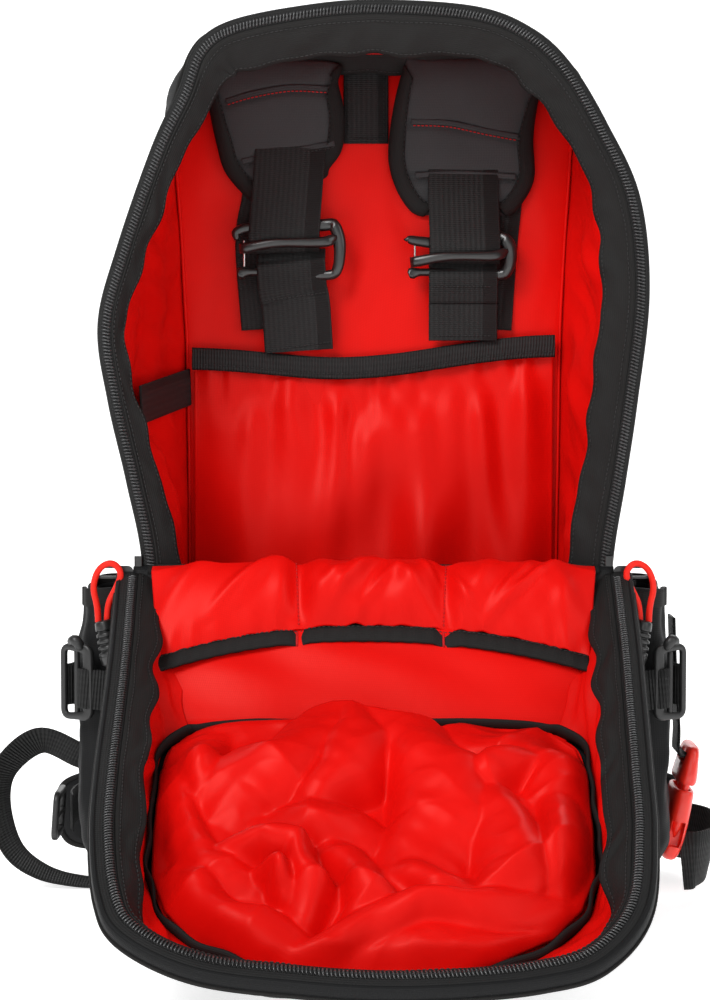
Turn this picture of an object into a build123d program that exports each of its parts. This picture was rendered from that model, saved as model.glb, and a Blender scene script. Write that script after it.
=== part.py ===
from build123d import *
import math
import os

os.makedirs("parts", exist_ok=True)

# Millimetres. X right, -Y towards the open side, +Y towards the wearer, +Z up.
# Origin on the floor below the middle of the pack.

# pack body
pack_height = 568.0  # floor to the top of the open rim
hinge_height = 222.0  # fold line, where both zipper chains end
rim_y = -45.0  # zipper plane of the body
hinge_half_width = 142.0
widest_half_width = 166.0
widest_drop = 168.0  # widest level, below the top
crown_half_width = 117.0
crown_drop = 43.0
top_half_width = 62.0
rim_corner_radius = 36.0
rear_half_width = 133.0
rear_base_half_width = 126.0
rear_top_drop = 12.0  # rear wall is this much lower than the rim
rear_crown_half_width = 127.0
rear_top_half_width = 98.0
inside_depth = 129.0  # rim plane to rear lining
cloth = 3.0  # outer cloth with its foam
lining = 1.2
layer_gap = 0.4  # between layers of cloth
stay_thickness = 3.0
sheet_thickness = 2.0
panel_thickness = 10.0

# lower tub
tub_front_y = -104.0
tub_front_height = 116.0
tub_top_gap = 6.0  # below the fold line
tub_corner_radius = 14.0

# front flap
flap_depth = 50.0
flap_hinge_wall = 98.0  # how far the sloped hinge wall reaches along the flap
flap_wide_half_width = 146.0
flap_crown_half_width = 122.0
flap_end_inset = 8.0
flap_side_inset = 6.0
floor_gap = 1.0
piping_radius = 3.5

# zipper
chain_width = 5.0
chain_height = 2.5
tape_width = 12.0
tape_thickness = 1.0
zipper_plane_gap = 0.5  # each chain stays this far from the shared plane
facing_width = 24.0

# webbing and small parts
webbing_thickness = 1.6
narrow_webbing = 25.0
wide_webbing = 38.0
strap_webbing = 48.0
running_gap = 0.5

# side pocket
pocket_half_width = 190.0  # outer face, from the middle
pocket_front_y = -38.0
pocket_rear_y = 58.0
pocket_bottom = 25.0
pocket_top = 200.0
pocket_radius = 18.0

flap_length = pack_height - hinge_height
rim_gap = chain_height + zipper_plane_gap + tape_thickness  # plane to cloth edge
flap_reach = math.hypot(flap_length - flap_end_inset, flap_depth)
flap_tilt = math.degrees(
    math.asin((hinge_height - floor_gap) / flap_reach)
    - math.atan2(flap_depth, flap_length - flap_end_inset)
)
tilt_sin = math.sin(math.radians(flap_tilt))
tilt_cos = math.cos(math.radians(flap_tilt))
flap_plane = Plane(
    origin=(0, rim_y, hinge_height), x_dir=(1, 0, 0), z_dir=(0, tilt_sin, -tilt_cos)
)
lining_y = rim_y + inside_depth
sheet_y = lining_y + lining + layer_gap
stay_y = sheet_y + sheet_thickness + layer_gap
panel_y = stay_y + stay_thickness + layer_gap
back_y = panel_y + panel_thickness


def keep(piece, name):
    """Label one finished sub-part and write it."""
    piece.part.label = name
    export_step(piece.part, f"parts/{name}.step")


def rear_plane(y):
    """Upright plane at y whose sketch axes are X and Z."""
    return Plane.XZ.offset(-y)


def between(first, second, share):
    """Outline part of the way from one outline to another."""
    return [
        (a[0] + (b[0] - a[0]) * share, a[1] + (b[1] - a[1]) * share)
        for a, b in zip(first, second)
    ]


def outline(plane, right_half, inset=0.0, radius=rim_corner_radius):
    """Closed symmetric outline from its right half, with every corner above the base rounded."""
    left_half = [(-x, z) for x, z in reversed(right_half)]
    base = right_half[0][1]
    with BuildSketch(plane) as sketch:
        with BuildLine():
            Polyline(*right_half, *left_half, close=True)
        make_face()
        upper = [v for v in sketch.sketch_local.vertices() if v.Y > base + 1]
        fillet(upper, radius)
        if inset:
            offset(amount=-inset, kind=Kind.INTERSECTION, mode=Mode.REPLACE)
    return sketch.sketch.face()


# right halves of the outlines: base, widest, crown, top
widest_height = pack_height - widest_drop
skirt = 60.0  # the walls are drawn this far below the fold line and trimmed
side_slope = (widest_half_width - hinge_half_width) / (widest_height - hinge_height)
rim_points = [
    (hinge_half_width - side_slope * skirt, hinge_height - skirt),
    (widest_half_width, widest_height),
    (crown_half_width, pack_height - crown_drop),
    (top_half_width, pack_height),
]
rear_top = pack_height - rear_top_drop
rear_points = [
    (rear_base_half_width, hinge_height - skirt),
    (rear_half_width, widest_height),
    (rear_crown_half_width, rear_top - crown_drop + rear_top_drop),
    (rear_top_half_width, rear_top),
]
panel_points = [(rear_base_half_width, 0), (rear_base_half_width, hinge_height), *rear_points[1:]]
hinge_clear = piping_radius + 1.5
flap_rim_points = [
    (hinge_half_width + 2, hinge_clear),
    (flap_wide_half_width, flap_length * 0.68),
    (flap_crown_half_width, flap_length * 0.9),
    (top_half_width + 12, flap_length),
]
flap_floor_points = [
    (hinge_half_width - flap_side_inset, hinge_clear + flap_hinge_wall),
    (flap_wide_half_width - flap_side_inset, flap_length * 0.7),
    (flap_crown_half_width - flap_side_inset, flap_length * 0.9 - flap_end_inset),
    (top_half_width + 6, flap_length - flap_end_inset),
]


def body_ring(outer, inner, y_near, y_far):
    """Wall of the upper body between two insets and two depths, open below."""
    reach = stay_y - (rim_y + rim_gap)
    near = between(rim_points, rear_points, (y_near - rim_y - rim_gap) / reach)
    far = between(rim_points, rear_points, (y_far - rim_y - rim_gap) / reach)
    with BuildPart() as ring:
        loft([outline(rear_plane(y_near), near, outer), outline(rear_plane(y_far), far, outer)])
        loft(
            [outline(rear_plane(y_near), near, inner), outline(rear_plane(y_far), far, inner)],
            mode=Mode.SUBTRACT,
        )
        split(bisect_by=Plane.XY.offset(hinge_height + layer_gap), keep=Keep.TOP)
    return ring


def flap_wall(outer, inner, near, far, depth, inner_depth):
    """Walls between two insets, from the rim edge down to one depth outside and one inside."""
    start = flap_plane.offset(rim_gap)
    with BuildPart() as wall:
        loft([outline(start, near, outer), outline(flap_plane.offset(depth), far, outer)])
        loft(
            [outline(start, near, inner), outline(flap_plane.offset(inner_depth), far, inner)],
            mode=Mode.SUBTRACT,
        )
    return wall


# upper body
main_gusset = body_ring(0, cloth, rim_y + rim_gap, stay_y)
keep(main_gusset, "main_gusset")
lining_out = cloth + layer_gap
lining_in = lining_out + lining
upper_lining = body_ring(lining_out, lining_in, rim_y + rim_gap, lining_y - layer_gap)
facing_out = lining_in + layer_gap
facing_in = facing_out + lining
rim_facing = body_ring(facing_out, facing_in, rim_y + rim_gap, rim_y + rim_gap + facing_width)
keep(rim_facing, "rim_facing")

# the zipper chains are open below the fold line, so both bands are trimmed there
rim_edge = rear_plane(rim_y + rim_gap - tape_thickness)
with BuildPart() as body_zipper_tape:
    extrude(outline(rim_edge, rim_points), amount=-tape_thickness)
    extrude(outline(rim_edge, rim_points, tape_width), amount=-tape_thickness, mode=Mode.SUBTRACT)
    split(bisect_by=Plane.XY.offset(hinge_height + hinge_clear), keep=Keep.TOP)
keep(body_zipper_tape, "body_zipper_tape")
chain_start = tape_width - chain_width - 2
with BuildPart() as body_zipper_chain:
    extrude(outline(rim_edge, rim_points, chain_start), amount=chain_height)
    extrude(
        outline(rim_edge, rim_points, chain_start + chain_width),
        amount=chain_height,
        mode=Mode.SUBTRACT,
    )
    split(bisect_by=Plane.XY.offset(hinge_height + hinge_clear), keep=Keep.TOP)
keep(body_zipper_chain, "body_zipper_chain")

with BuildPart() as back_lining:
    extrude(outline(rear_plane(lining_y), panel_points, lining_in + 1), amount=-lining)
keep(back_lining, "back_lining")
with BuildPart() as frame_sheet:
    extrude(outline(rear_plane(sheet_y), panel_points, 8), amount=-sheet_thickness)
keep(frame_sheet, "frame_sheet")
stay_width = 25.0
stay_spacing = 90.0
stay_bottom = 20.0
with BuildPart() as frame_stays:
    stay_length = rear_top - 2 * stay_bottom
    with BuildSketch(rear_plane(stay_y)):
        with Locations((-stay_spacing / 2, rear_top / 2), (stay_spacing / 2, rear_top / 2)):
            SlotOverall(stay_length, stay_width, rotation=90)
    extrude(amount=-stay_thickness)
keep(frame_stays, "frame_stays")
with BuildPart() as back_panel:
    extrude(outline(rear_plane(panel_y), panel_points), amount=-panel_thickness)
keep(back_panel, "back_panel")


# lower tub, open at the rear where the back panel closes it
def tub_side(y):
    """Half width of the tub's outer face at a depth."""
    share = (y - tub_front_y) / (stay_y - tub_front_y)
    return hinge_half_width + (rear_base_half_width - hinge_half_width) * share


def tub_section(height, front_y, inset, rear_y):
    """Trapezoid across the tub at one height, widest at the front."""
    with BuildSketch(Plane.XY.offset(height)) as sketch:
        with BuildLine():
            Polyline(
                (tub_side(front_y) - inset, front_y + inset),
                (rear_base_half_width - inset, rear_y),
                (-rear_base_half_width + inset, rear_y),
                (-tub_side(front_y) + inset, front_y + inset),
                close=True,
            )
        make_face()
        front = sketch.sketch_local.vertices().group_by(Axis.Y)[0]
        fillet(front, tub_corner_radius - min(inset, tub_corner_radius / 2))
    return sketch.sketch.face()


def tub(outer, inner, floor_height, floor, rear_y):
    """Base and front and side walls of the tub between two insets."""
    top = hinge_height - tub_top_gap
    levels = [(floor_height, tub_front_y), (tub_front_height, tub_front_y), (top, rim_y + 1)]
    with BuildPart() as shell:
        loft([tub_section(z, y, outer, rear_y) for z, y in levels], ruled=True)
        hollow = [(floor_height + floor, tub_front_y), *levels[1:]]
        loft(
            [tub_section(z, y, inner, rear_y) for z, y in hollow],
            ruled=True,
            mode=Mode.SUBTRACT,
        )
    return shell


lower_tub = tub(0, cloth, 0, cloth, stay_y)
keep(lower_tub, "lower_tub")
tub_lining = tub(lining_out, lining_in, cloth + layer_gap, lining, lining_y - layer_gap)
with BuildPart() as main_lining:
    add(upper_lining.part)
    add(tub_lining.part)
keep(main_lining, "main_lining")
with BuildPart() as hinge_piping:
    with BuildSketch(Plane.YZ.offset(-hinge_half_width + 2)):
        with Locations((rim_y, hinge_height)):
            Circle(piping_radius)
    extrude(amount=2 * (hinge_half_width - 2))
keep(hinge_piping, "hinge_piping")

# rear wall pocket with its elastic edge
back_pocket_top = 352.0
back_pocket_bottom = 14.0
back_pocket_depth = 11.0
binding_height = 14.0
pocket_half = rear_base_half_width - lining_in - 4
pocket_face_y = lining_y - back_pocket_depth
with BuildPart() as back_pocket:
    with BuildSketch(Plane.XY.offset(back_pocket_bottom)):
        with Locations((0, lining_y - layer_gap - back_pocket_depth / 2)):
            Rectangle(2 * pocket_half, back_pocket_depth)
    extrude(amount=back_pocket_top - back_pocket_bottom)
    with BuildSketch(Plane.XY.offset(back_pocket_bottom + lining)):
        with Locations((0, lining_y - layer_gap - back_pocket_depth / 2 + lining)):
            Rectangle(2 * (pocket_half - lining), back_pocket_depth)
    extrude(amount=back_pocket_top - back_pocket_bottom, mode=Mode.SUBTRACT)
keep(back_pocket, "back_pocket")
with BuildPart() as back_pocket_binding:
    with BuildSketch(Plane.XY.offset(back_pocket_top)):
        with Locations((0, pocket_face_y + 0.9)):
            Rectangle(2 * pocket_half, 2.4)
    extrude(amount=binding_height)
keep(back_pocket_binding, "back_pocket_binding")

# band across the left inner wall
band_height = 25.0
band_level = 322.0
side_band = body_ring(facing_out, facing_in, rim_y + rim_gap + facing_width + 1, lining_y - 1)
tab_width = 30.0
tab_length = 50.0
tab_top_drop = 24.0
with BuildPart() as wall_band:
    add(side_band.part)
    split(bisect_by=Plane.XY.offset(band_level), keep=Keep.TOP)
    split(bisect_by=Plane.XY.offset(band_level + band_height), keep=Keep.BOTTOM)
    split(bisect_by=Plane.YZ, keep=Keep.BOTTOM)
keep(wall_band, "wall_band")
with BuildPart() as hanger_tab:
    with BuildSketch(rear_plane(lining_y - layer_gap)):
        with Locations((-5, pack_height - tab_top_drop - tab_length / 2)):
            Rectangle(tab_width, tab_length)
    extrude(amount=3)
keep(hanger_tab, "hanger_tab")

# front flap
flap_depth = 50.0
flap_hinge_wall = 98.0  # how far the sloped hinge wall reaches along the flap
flap_wide_half_width = 146.0
flap_crown_half_width = 122.0
flap_end_inset = 8.0
flap_side_inset = 6.0
floor_gap = 1.0
piping_radius = 3.5

# zipper
chain_width = 5.0
chain_height = 2.5
tape_width = 12.0
tape_thickness = 1.0
zipper_plane_gap = 0.5  # each chain stays this far from the shared plane
facing_width = 24.0

# webbing and small parts
webbing_thickness = 1.6
narrow_webbing = 25.0
wide_webbing = 38.0
strap_webbing = 48.0
running_gap = 0.5

# side pocket
pocket_half_width = 190.0  # outer face, from the middle
pocket_front_y = -38.0
pocket_rear_y = 58.0
pocket_bottom = 25.0
pocket_top = 200.0
pocket_radius = 18.0

flap_length = pack_height - hinge_height
rim_gap = chain_height + zipper_plane_gap + tape_thickness  # plane to cloth edge
flap_reach = math.hypot(flap_length - flap_end_inset, flap_depth)
flap_tilt = math.degrees(
    math.asin((hinge_height - floor_gap) / flap_reach)
    - math.atan2(flap_depth, flap_length - flap_end_inset)
)
tilt_sin = math.sin(math.radians(flap_tilt))
tilt_cos = math.cos(math.radians(flap_tilt))
flap_plane = Plane(
    origin=(0, rim_y, hinge_height), x_dir=(1, 0, 0), z_dir=(0, tilt_sin, -tilt_cos)
)
lining_y = rim_y + inside_depth
sheet_y = lining_y + lining + layer_gap
stay_y = sheet_y + sheet_thickness + layer_gap
panel_y = stay_y + stay_thickness + layer_gap
back_y = panel_y + panel_thickness


def keep(piece, name):
    """Label one finished sub-part and write it."""
    piece.part.label = name
    export_step(piece.part, f"parts/{name}.step")


def rear_plane(y):
    """Upright plane at y whose sketch axes are X and Z."""
    return Plane.XZ.offset(-y)


def between(first, second, share):
    """Outline part of the way from one outline to another."""
    return [
        (a[0] + (b[0] - a[0]) * share, a[1] + (b[1] - a[1]) * share)
        for a, b in zip(first, second)
    ]


def outline(plane, right_half, inset=0.0, radius=rim_corner_radius):
    """Closed symmetric outline from its right half, with every corner above the base rounded."""
    left_half = [(-x, z) for x, z in reversed(right_half)]
    base = right_half[0][1]
    with BuildSketch(plane) as sketch:
        with BuildLine():
            Polyline(*right_half, *left_half, close=True)
        make_face()
        upper = [v for v in sketch.sketch_local.vertices() if v.Y > base + 1]
        fillet(upper, radius)
        if inset:
            offset(amount=-inset, kind=Kind.INTERSECTION, mode=Mode.REPLACE)
    return sketch.sketch.face()


# right halves of the outlines: base, widest, crown, top
widest_height = pack_height - widest_drop
skirt = 60.0  # the walls are drawn this far below the fold line and trimmed
side_slope = (widest_half_width - hinge_half_width) / (widest_height - hinge_height)
rim_points = [
    (hinge_half_width - side_slope * skirt, hinge_height - skirt),
    (widest_half_width, widest_height),
    (crown_half_width, pack_height - crown_drop),
    (top_half_width, pack_height),
]
rear_top = pack_height - rear_top_drop
rear_points = [
    (rear_base_half_width, hinge_height - skirt),
    (rear_half_width, widest_height),
    (rear_crown_half_width, rear_top - crown_drop + rear_top_drop),
    (rear_top_half_width, rear_top),
]
panel_points = [(rear_base_half_width, 0), (rear_base_half_width, hinge_height), *rear_points[1:]]
hinge_clear = piping_radius + 1.5
flap_rim_points = [
    (hinge_half_width + 2, hinge_clear),
    (flap_wide_half_width, flap_length * 0.68),
    (flap_crown_half_width, flap_length * 0.9),
    (top_half_width + 12, flap_length),
]
flap_floor_points = [
    (hinge_half_width - flap_side_inset, hinge_clear + flap_hinge_wall),
    (flap_wide_half_width - flap_side_inset, flap_length * 0.7),
    (flap_crown_half_width - flap_side_inset, flap_length * 0.9 - flap_end_inset),
    (top_half_width + 6, flap_length - flap_end_inset),
]


def body_ring(outer, inner, y_near, y_far):
    """Wall of the upper body between two insets and two depths, open below."""
    reach = stay_y - (rim_y + rim_gap)
    near = between(rim_points, rear_points, (y_near - rim_y - rim_gap) / reach)
    far = between(rim_points, rear_points, (y_far - rim_y - rim_gap) / reach)
    with BuildPart() as ring:
        loft([outline(rear_plane(y_near), near, outer), outline(rear_plane(y_far), far, outer)])
        loft(
            [outline(rear_plane(y_near), near, inner), outline(rear_plane(y_far), far, inner)],
            mode=Mode.SUBTRACT,
        )
        split(bisect_by=Plane.XY.offset(hinge_height + layer_gap), keep=Keep.TOP)
    return ring


def flap_wall(outer, inner, near, far, depth, inner_depth):
    """Walls between two insets, from the rim edge down to one depth outside and one inside."""
    start = flap_plane.offset(rim_gap)
    with BuildPart() as wall:
        loft([outline(start, near, outer), outline(flap_plane.offset(depth), far, outer)])
        loft(
            [outline(start, near, inner), outline(flap_plane.offset(inner_depth), far, inner)],
            mode=Mode.SUBTRACT,
        )
    return wall


# upper body
main_gusset = body_ring(0, cloth, rim_y + rim_gap, stay_y)
keep(main_gusset, "main_gusset")
lining_out = cloth + layer_gap
lining_in = lining_out + lining
upper_lining = body_ring(lining_out, lining_in, rim_y + rim_gap, lining_y - layer_gap)
facing_out = lining_in + layer_gap
facing_in = facing_out + lining
rim_facing = body_ring(facing_out, facing_in, rim_y + rim_gap, rim_y + rim_gap + facing_width)
keep(rim_facing, "rim_facing")

# the zipper chains are open below the fold line, so both bands are trimmed there
rim_edge = rear_plane(rim_y + rim_gap - tape_thickness)
with BuildPart() as body_zipper_tape:
    extrude(outline(rim_edge, rim_points), amount=-tape_thickness)
    extrude(outline(rim_edge, rim_points, tape_width), amount=-tape_thickness, mode=Mode.SUBTRACT)
    split(bisect_by=Plane.XY.offset(hinge_height + hinge_clear), keep=Keep.TOP)
keep(body_zipper_tape, "body_zipper_tape")
chain_start = tape_width - chain_width - 2
with BuildPart() as body_zipper_chain:
    extrude(outline(rim_edge, rim_points, chain_start), amount=chain_height)
    extrude(
        outline(rim_edge, rim_points, chain_start + chain_width),
        amount=chain_height,
        mode=Mode.SUBTRACT,
    )
    split(bisect_by=Plane.XY.offset(hinge_height + hinge_clear), keep=Keep.TOP)
keep(body_zipper_chain, "body_zipper_chain")

with BuildPart() as back_lining:
    extrude(outline(rear_plane(lining_y), panel_points, lining_in + 1), amount=-lining)
keep(back_lining, "back_lining")
with BuildPart() as frame_sheet:
    extrude(outline(rear_plane(sheet_y), panel_points, 8), amount=-sheet_thickness)
keep(frame_sheet, "frame_sheet")
stay_width = 25.0
stay_spacing = 90.0
stay_bottom = 20.0
with BuildPart() as frame_stays:
    stay_length = rear_top - 2 * stay_bottom
    with BuildSketch(rear_plane(stay_y)):
        with Locations((-stay_spacing / 2, rear_top / 2), (stay_spacing / 2, rear_top / 2)):
            SlotOverall(stay_length, stay_width, rotation=90)
    extrude(amount=-stay_thickness)
keep(frame_stays, "frame_stays")
with BuildPart() as back_panel:
    extrude(outline(rear_plane(panel_y), panel_points), amount=-panel_thickness)
keep(back_panel, "back_panel")


# lower tub, open at the rear where the back panel closes it
def tub_side(y):
    """Half width of the tub's outer face at a depth."""
    share = (y - tub_front_y) / (stay_y - tub_front_y)
    return hinge_half_width + (rear_base_half_width - hinge_half_width) * share


def tub_section(height, front_y, inset, rear_y):
    """Trapezoid across the tub at one height, widest at the front."""
    with BuildSketch(Plane.XY.offset(height)) as sketch:
        with BuildLine():
            Polyline(
                (tub_side(front_y) - inset, front_y + inset),
                (rear_base_half_width - inset, rear_y),
                (-rear_base_half_width + inset, rear_y),
                (-tub_side(front_y) + inset, front_y + inset),
                close=True,
            )
        make_face()
        front = sketch.sketch_local.vertices().group_by(Axis.Y)[0]
        fillet(front, tub_corner_radius - min(inset, tub_corner_radius / 2))
    return sketch.sketch.face()


def tub(outer, inner, floor_height, floor, rear_y):
    """Base and front and side walls of the tub between two insets."""
    top = hinge_height - tub_top_gap
    levels = [(floor_height, tub_front_y), (tub_front_height, tub_front_y), (top, rim_y + 1)]
    with BuildPart() as shell:
        loft([tub_section(z, y, outer, rear_y) for z, y in levels], ruled=True)
        hollow = [(floor_height + floor, tub_front_y), *levels[1:]]
        loft(
            [tub_section(z, y, inner, rear_y) for z, y in hollow],
            ruled=True,
            mode=Mode.SUBTRACT,
        )
    return shell


lower_tub = tub(0, cloth, 0, cloth, stay_y)
keep(lower_tub, "lower_tub")
tub_lining = tub(lining_out, lining_in, cloth + layer_gap, lining, lining_y - layer_gap)
with BuildPart() as main_lining:
    add(upper_lining.part)
    add(tub_lining.part)
keep(main_lining, "main_lining")
with BuildPart() as hinge_piping:
    with BuildSketch(Plane.YZ.offset(-hinge_half_width + 2)):
        with Locations((rim_y, hinge_height)):
            Circle(piping_radius)
    extrude(amount=2 * (hinge_half_width - 2))
keep(hinge_piping, "hinge_piping")

# rear wall pocket with its elastic edge
back_pocket_top = 352.0
back_pocket_bottom = 14.0
back_pocket_depth = 11.0
binding_height = 14.0
pocket_half = rear_base_half_width - lining_in - 4
pocket_face_y = lining_y - back_pocket_depth
with BuildPart() as back_pocket:
    with BuildSketch(Plane.XY.offset(back_pocket_bottom)):
        with Locations((0, lining_y - layer_gap - back_pocket_depth / 2)):
            Rectangle(2 * pocket_half, back_pocket_depth)
    extrude(amount=back_pocket_top - back_pocket_bottom)
    with BuildSketch(Plane.XY.offset(back_pocket_bottom + lining)):
        with Locations((0, lining_y - layer_gap - back_pocket_depth / 2 + lining)):
            Rectangle(2 * (pocket_half - lining), back_pocket_depth)
    extrude(amount=back_pocket_top - back_pocket_bottom, mode=Mode.SUBTRACT)
keep(back_pocket, "back_pocket")
with BuildPart() as back_pocket_binding:
    with BuildSketch(Plane.XY.offset(back_pocket_top)):
        with Locations((0, pocket_face_y + 0.9)):
            Rectangle(2 * pocket_half, 2.4)
    extrude(amount=binding_height)
keep(back_pocket_binding, "back_pocket_binding")

# band across the left inner wall
band_height = 25.0
band_level = 322.0
side_band = body_ring(facing_out, facing_in, rim_y + rim_gap + facing_width + 1, lining_y - 1)
with BuildPart() as wall_band:
    add(side_band.part)
    split(bisect_by=Plane.XY.offset(band_level), keep=Keep.TOP)
    split(bisect_by=Plane.XY.offset(band_level + band_height), keep=Keep.BOTTOM)
    split(bisect_by=Plane.YZ, keep=Keep.BOTTOM)
keep(wall_band, "wall_band")
tab_width = 30.0
tab_length = 50.0
tab_top_drop = 24.0
with BuildPart() as hanger_tab:
    with BuildSketch(rear_plane(lining_y - layer_gap)):
        with Locations((-5, pack_height - tab_top_drop - tab_length / 2)):
            Rectangle(tab_width, tab_length)
    extrude(amount=3)
keep(hanger_tab, "hanger_tab")

# front flap
flap_near = between(flap_rim_points, flap_floor_points, rim_gap / flap_depth)
lining_depth = flap_depth - cloth - layer_gap
lining_floor = lining_depth - lining
flap_shell = flap_wall(0, cloth, flap_near, flap_floor_points, flap_depth, flap_depth - cloth)
keep(flap_shell, "flap_shell")
flap_lining = flap_wall(
    lining_out, lining_in, flap_near, flap_floor_points, lining_depth, lining_floor
)
keep(flap_lining, "flap_lining")
facing_share = facing_width / (lining_floor - rim_gap)
facing_far = between(flap_near, flap_floor_points, facing_share)
facing_depth = rim_gap + facing_width
facing_start = 54.0  # the facing stops this far in front of the fold
with BuildPart() as flap_facing:
    add(flap_wall(facing_out, facing_in, flap_near, facing_far, facing_depth, facing_depth).part)
    split(bisect_by=Plane.XZ.offset(-rim_y + facing_start), keep=Keep.TOP)
keep(flap_facing, "flap_facing")
chain_end = flap_plane.origin + flap_plane.y_dir * (hinge_clear + 9)
chain_cut = Plane(origin=chain_end, z_dir=flap_plane.y_dir)
with BuildPart() as flap_zipper_tape:
    tape_plane = flap_plane.offset(rim_gap - tape_thickness)
    extrude(outline(tape_plane, flap_rim_points), amount=tape_thickness)
    extrude(
        outline(tape_plane, flap_rim_points, tape_width),
        amount=tape_thickness,
        mode=Mode.SUBTRACT,
    )
    split(bisect_by=chain_cut, keep=Keep.TOP)
keep(flap_zipper_tape, "flap_zipper_tape")
with BuildPart() as flap_zipper_chain:
    chain_plane = flap_plane.offset(zipper_plane_gap)
    extrude(outline(chain_plane, flap_rim_points, chain_start), amount=chain_height)
    extrude(
        outline(chain_plane, flap_rim_points, chain_start + chain_width),
        amount=chain_height,
        mode=Mode.SUBTRACT,
    )
    split(bisect_by=chain_cut, keep=Keep.TOP)
keep(flap_zipper_chain, "flap_zipper_chain")

# three-section pocket on the flap's hinge wall, in the wall's own plane
wall_start = (flap_near[0][1] + lining_in, rim_gap)
wall_end = (flap_floor_points[0][1] + lining_in, lining_floor)
wall_angle = math.atan2(wall_end[1] - wall_start[1], wall_end[0] - wall_start[0])
wall_plane = Plane(
    origin=flap_plane.origin
    + flap_plane.y_dir * wall_start[0]
    + flap_plane.z_dir * wall_start[1],
    x_dir=(1, 0, 0),
    z_dir=flap_plane.z_dir * math.cos(wall_angle) - flap_plane.y_dir * math.sin(wall_angle),
)
flap_pocket_start = 4.0
flap_pocket_length = 46.0
flap_pocket_depth = 9.0
flap_pocket_half = hinge_half_width - facing_in - 8
with BuildPart() as flap_pocket:
    with BuildSketch(wall_plane.offset(-layer_gap)):
        with Locations((0, flap_pocket_start + flap_pocket_length / 2)):
            Rectangle(2 * flap_pocket_half, flap_pocket_length)
    extrude(amount=-flap_pocket_depth)
    with BuildSketch(wall_plane.offset(-layer_gap)):
        with Locations((0, flap_pocket_start + flap_pocket_length / 2 + lining)):
            Rectangle(2 * (flap_pocket_half - lining), flap_pocket_length)
    extrude(amount=-(flap_pocket_depth - lining), mode=Mode.SUBTRACT)
keep(flap_pocket, "flap_pocket")
# loose lining gathered over the flap floor, inside a bound seam
loose_start = 118.0
loose_end_gap = 34.0
loose_half = 112.0
loose_height = 20.0
loose_seat = lining_floor - layer_gap
loose_length = flap_length - loose_end_gap - loose_start
loose_middle = loose_start + loose_length / 2
loose_plane = flap_plane.offset(loose_seat)
with BuildPart() as flap_loose_lining:
    with BuildSketch(loose_plane):
        with Locations((0, loose_middle)):
            RectangleRounded(2 * loose_half, loose_length, 50)
    extrude(amount=-loose_height, taper=25)
keep(flap_loose_lining, "flap_loose_lining")
with BuildPart() as flap_bindings:
    with BuildSketch(loose_plane):
        with Locations((0, loose_middle)):
            RectangleRounded(2 * loose_half + 10, loose_length + 10, 55)
            RectangleRounded(2 * loose_half + 2, loose_length + 2, 51, mode=Mode.SUBTRACT)
    extrude(amount=-7)
    with BuildSketch(wall_plane.offset(-flap_pocket_depth + 1)):
        with Locations((0, flap_pocket_start + flap_pocket_length + layer_gap + 4)):
            Rectangle(2 * flap_pocket_half, 8)
    extrude(amount=-2.4)
keep(flap_bindings, "flap_bindings")

# strap ends, hooks and ladder webbing on the rear wall
hook_x = 57.0
hook_y = lining_y - 16
hook_bar_radius = 2.4
upper_bar_height = 436.0
lower_bar_height = 410.0
hook_half = 33.0
pad_top = 540.0
pad_shoulder = 493.0
pad_bottom = 463.0
pad_thickness = 8.0
pad_half_top = 41.0
pad_half_shoulder = 37.0
pad_half_low = 27.0
pad_lean = 6.0
hook_loop_bottom = 362.0
loop_inner = hook_bar_radius + running_gap
loop_outer = loop_inner + webbing_thickness
hook_slot = 14.0
hook_corner = 7.0
ladder_half = 18.0
ladder_lean = 24.0
ladder_top = pack_height - 38


def webbing_loops(bar_height, end_height, width):
    """Webbing folded round the bar of each hook, with both legs running to one height."""
    run = end_height - bar_height
    with BuildPart() as loops:
        for sign in (-1, 1):
            with BuildSketch(Plane.YZ.offset(sign * hook_x - width / 2)):
                with Locations((hook_y, bar_height)):
                    Circle(loop_outer)
                with Locations((hook_y, bar_height + run / 2)):
                    Rectangle(2 * loop_outer, abs(run))
                with Locations((hook_y, bar_height)):
                    Circle(loop_inner, mode=Mode.SUBTRACT)
                with Locations((hook_y, bar_height + run / 2)):
                    Rectangle(2 * loop_inner, abs(run) + 0.01, mode=Mode.SUBTRACT)
            extrude(amount=width)
    return loops


with BuildPart() as strap_ends:
    for sign in (-1, 1):
        x = sign * hook_x
        top_x = x + sign * pad_lean
        shoulder_x = x + sign * pad_lean / 2
        with BuildSketch(rear_plane(lining_y - 3)) as pad:
            with BuildLine():
                Polyline(
                    (top_x - pad_half_top, pad_top),
                    (top_x + pad_half_top, pad_top),
                    (shoulder_x + pad_half_shoulder, pad_shoulder),
                    (x + pad_half_low, pad_bottom),
                    (x - pad_half_low, pad_bottom),
                    (shoulder_x - pad_half_shoulder, pad_shoulder),
                    close=True,
                )
            make_face()
            fillet(pad.vertices().group_by(Axis.Y)[0], 10)
        extrude(amount=pad_thickness)
keep(strap_ends, "strap_ends")
keep(webbing_loops(upper_bar_height, pad_bottom - 1, strap_webbing), "strap_webbing")
keep(webbing_loops(lower_bar_height, hook_loop_bottom, strap_webbing - 2), "ladder_loops")
with BuildPart() as ladder_webbing:
    for sign in (-1, 1):
        low_x = sign * hook_x
        high_x = sign * (hook_x + ladder_lean)
        with BuildSketch(rear_plane(lining_y - layer_gap)):
            with BuildLine():
                Polyline(
                    (low_x - ladder_half, back_pocket_top + binding_height + 4),
                    (low_x + ladder_half, back_pocket_top + binding_height + 4),
                    (high_x + ladder_half, ladder_top),
                    (high_x - ladder_half, ladder_top),
                    close=True,
                )
            make_face()
        extrude(amount=webbing_thickness)
keep(ladder_webbing, "ladder_webbing")
bar_middle = (upper_bar_height + lower_bar_height) / 2
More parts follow.
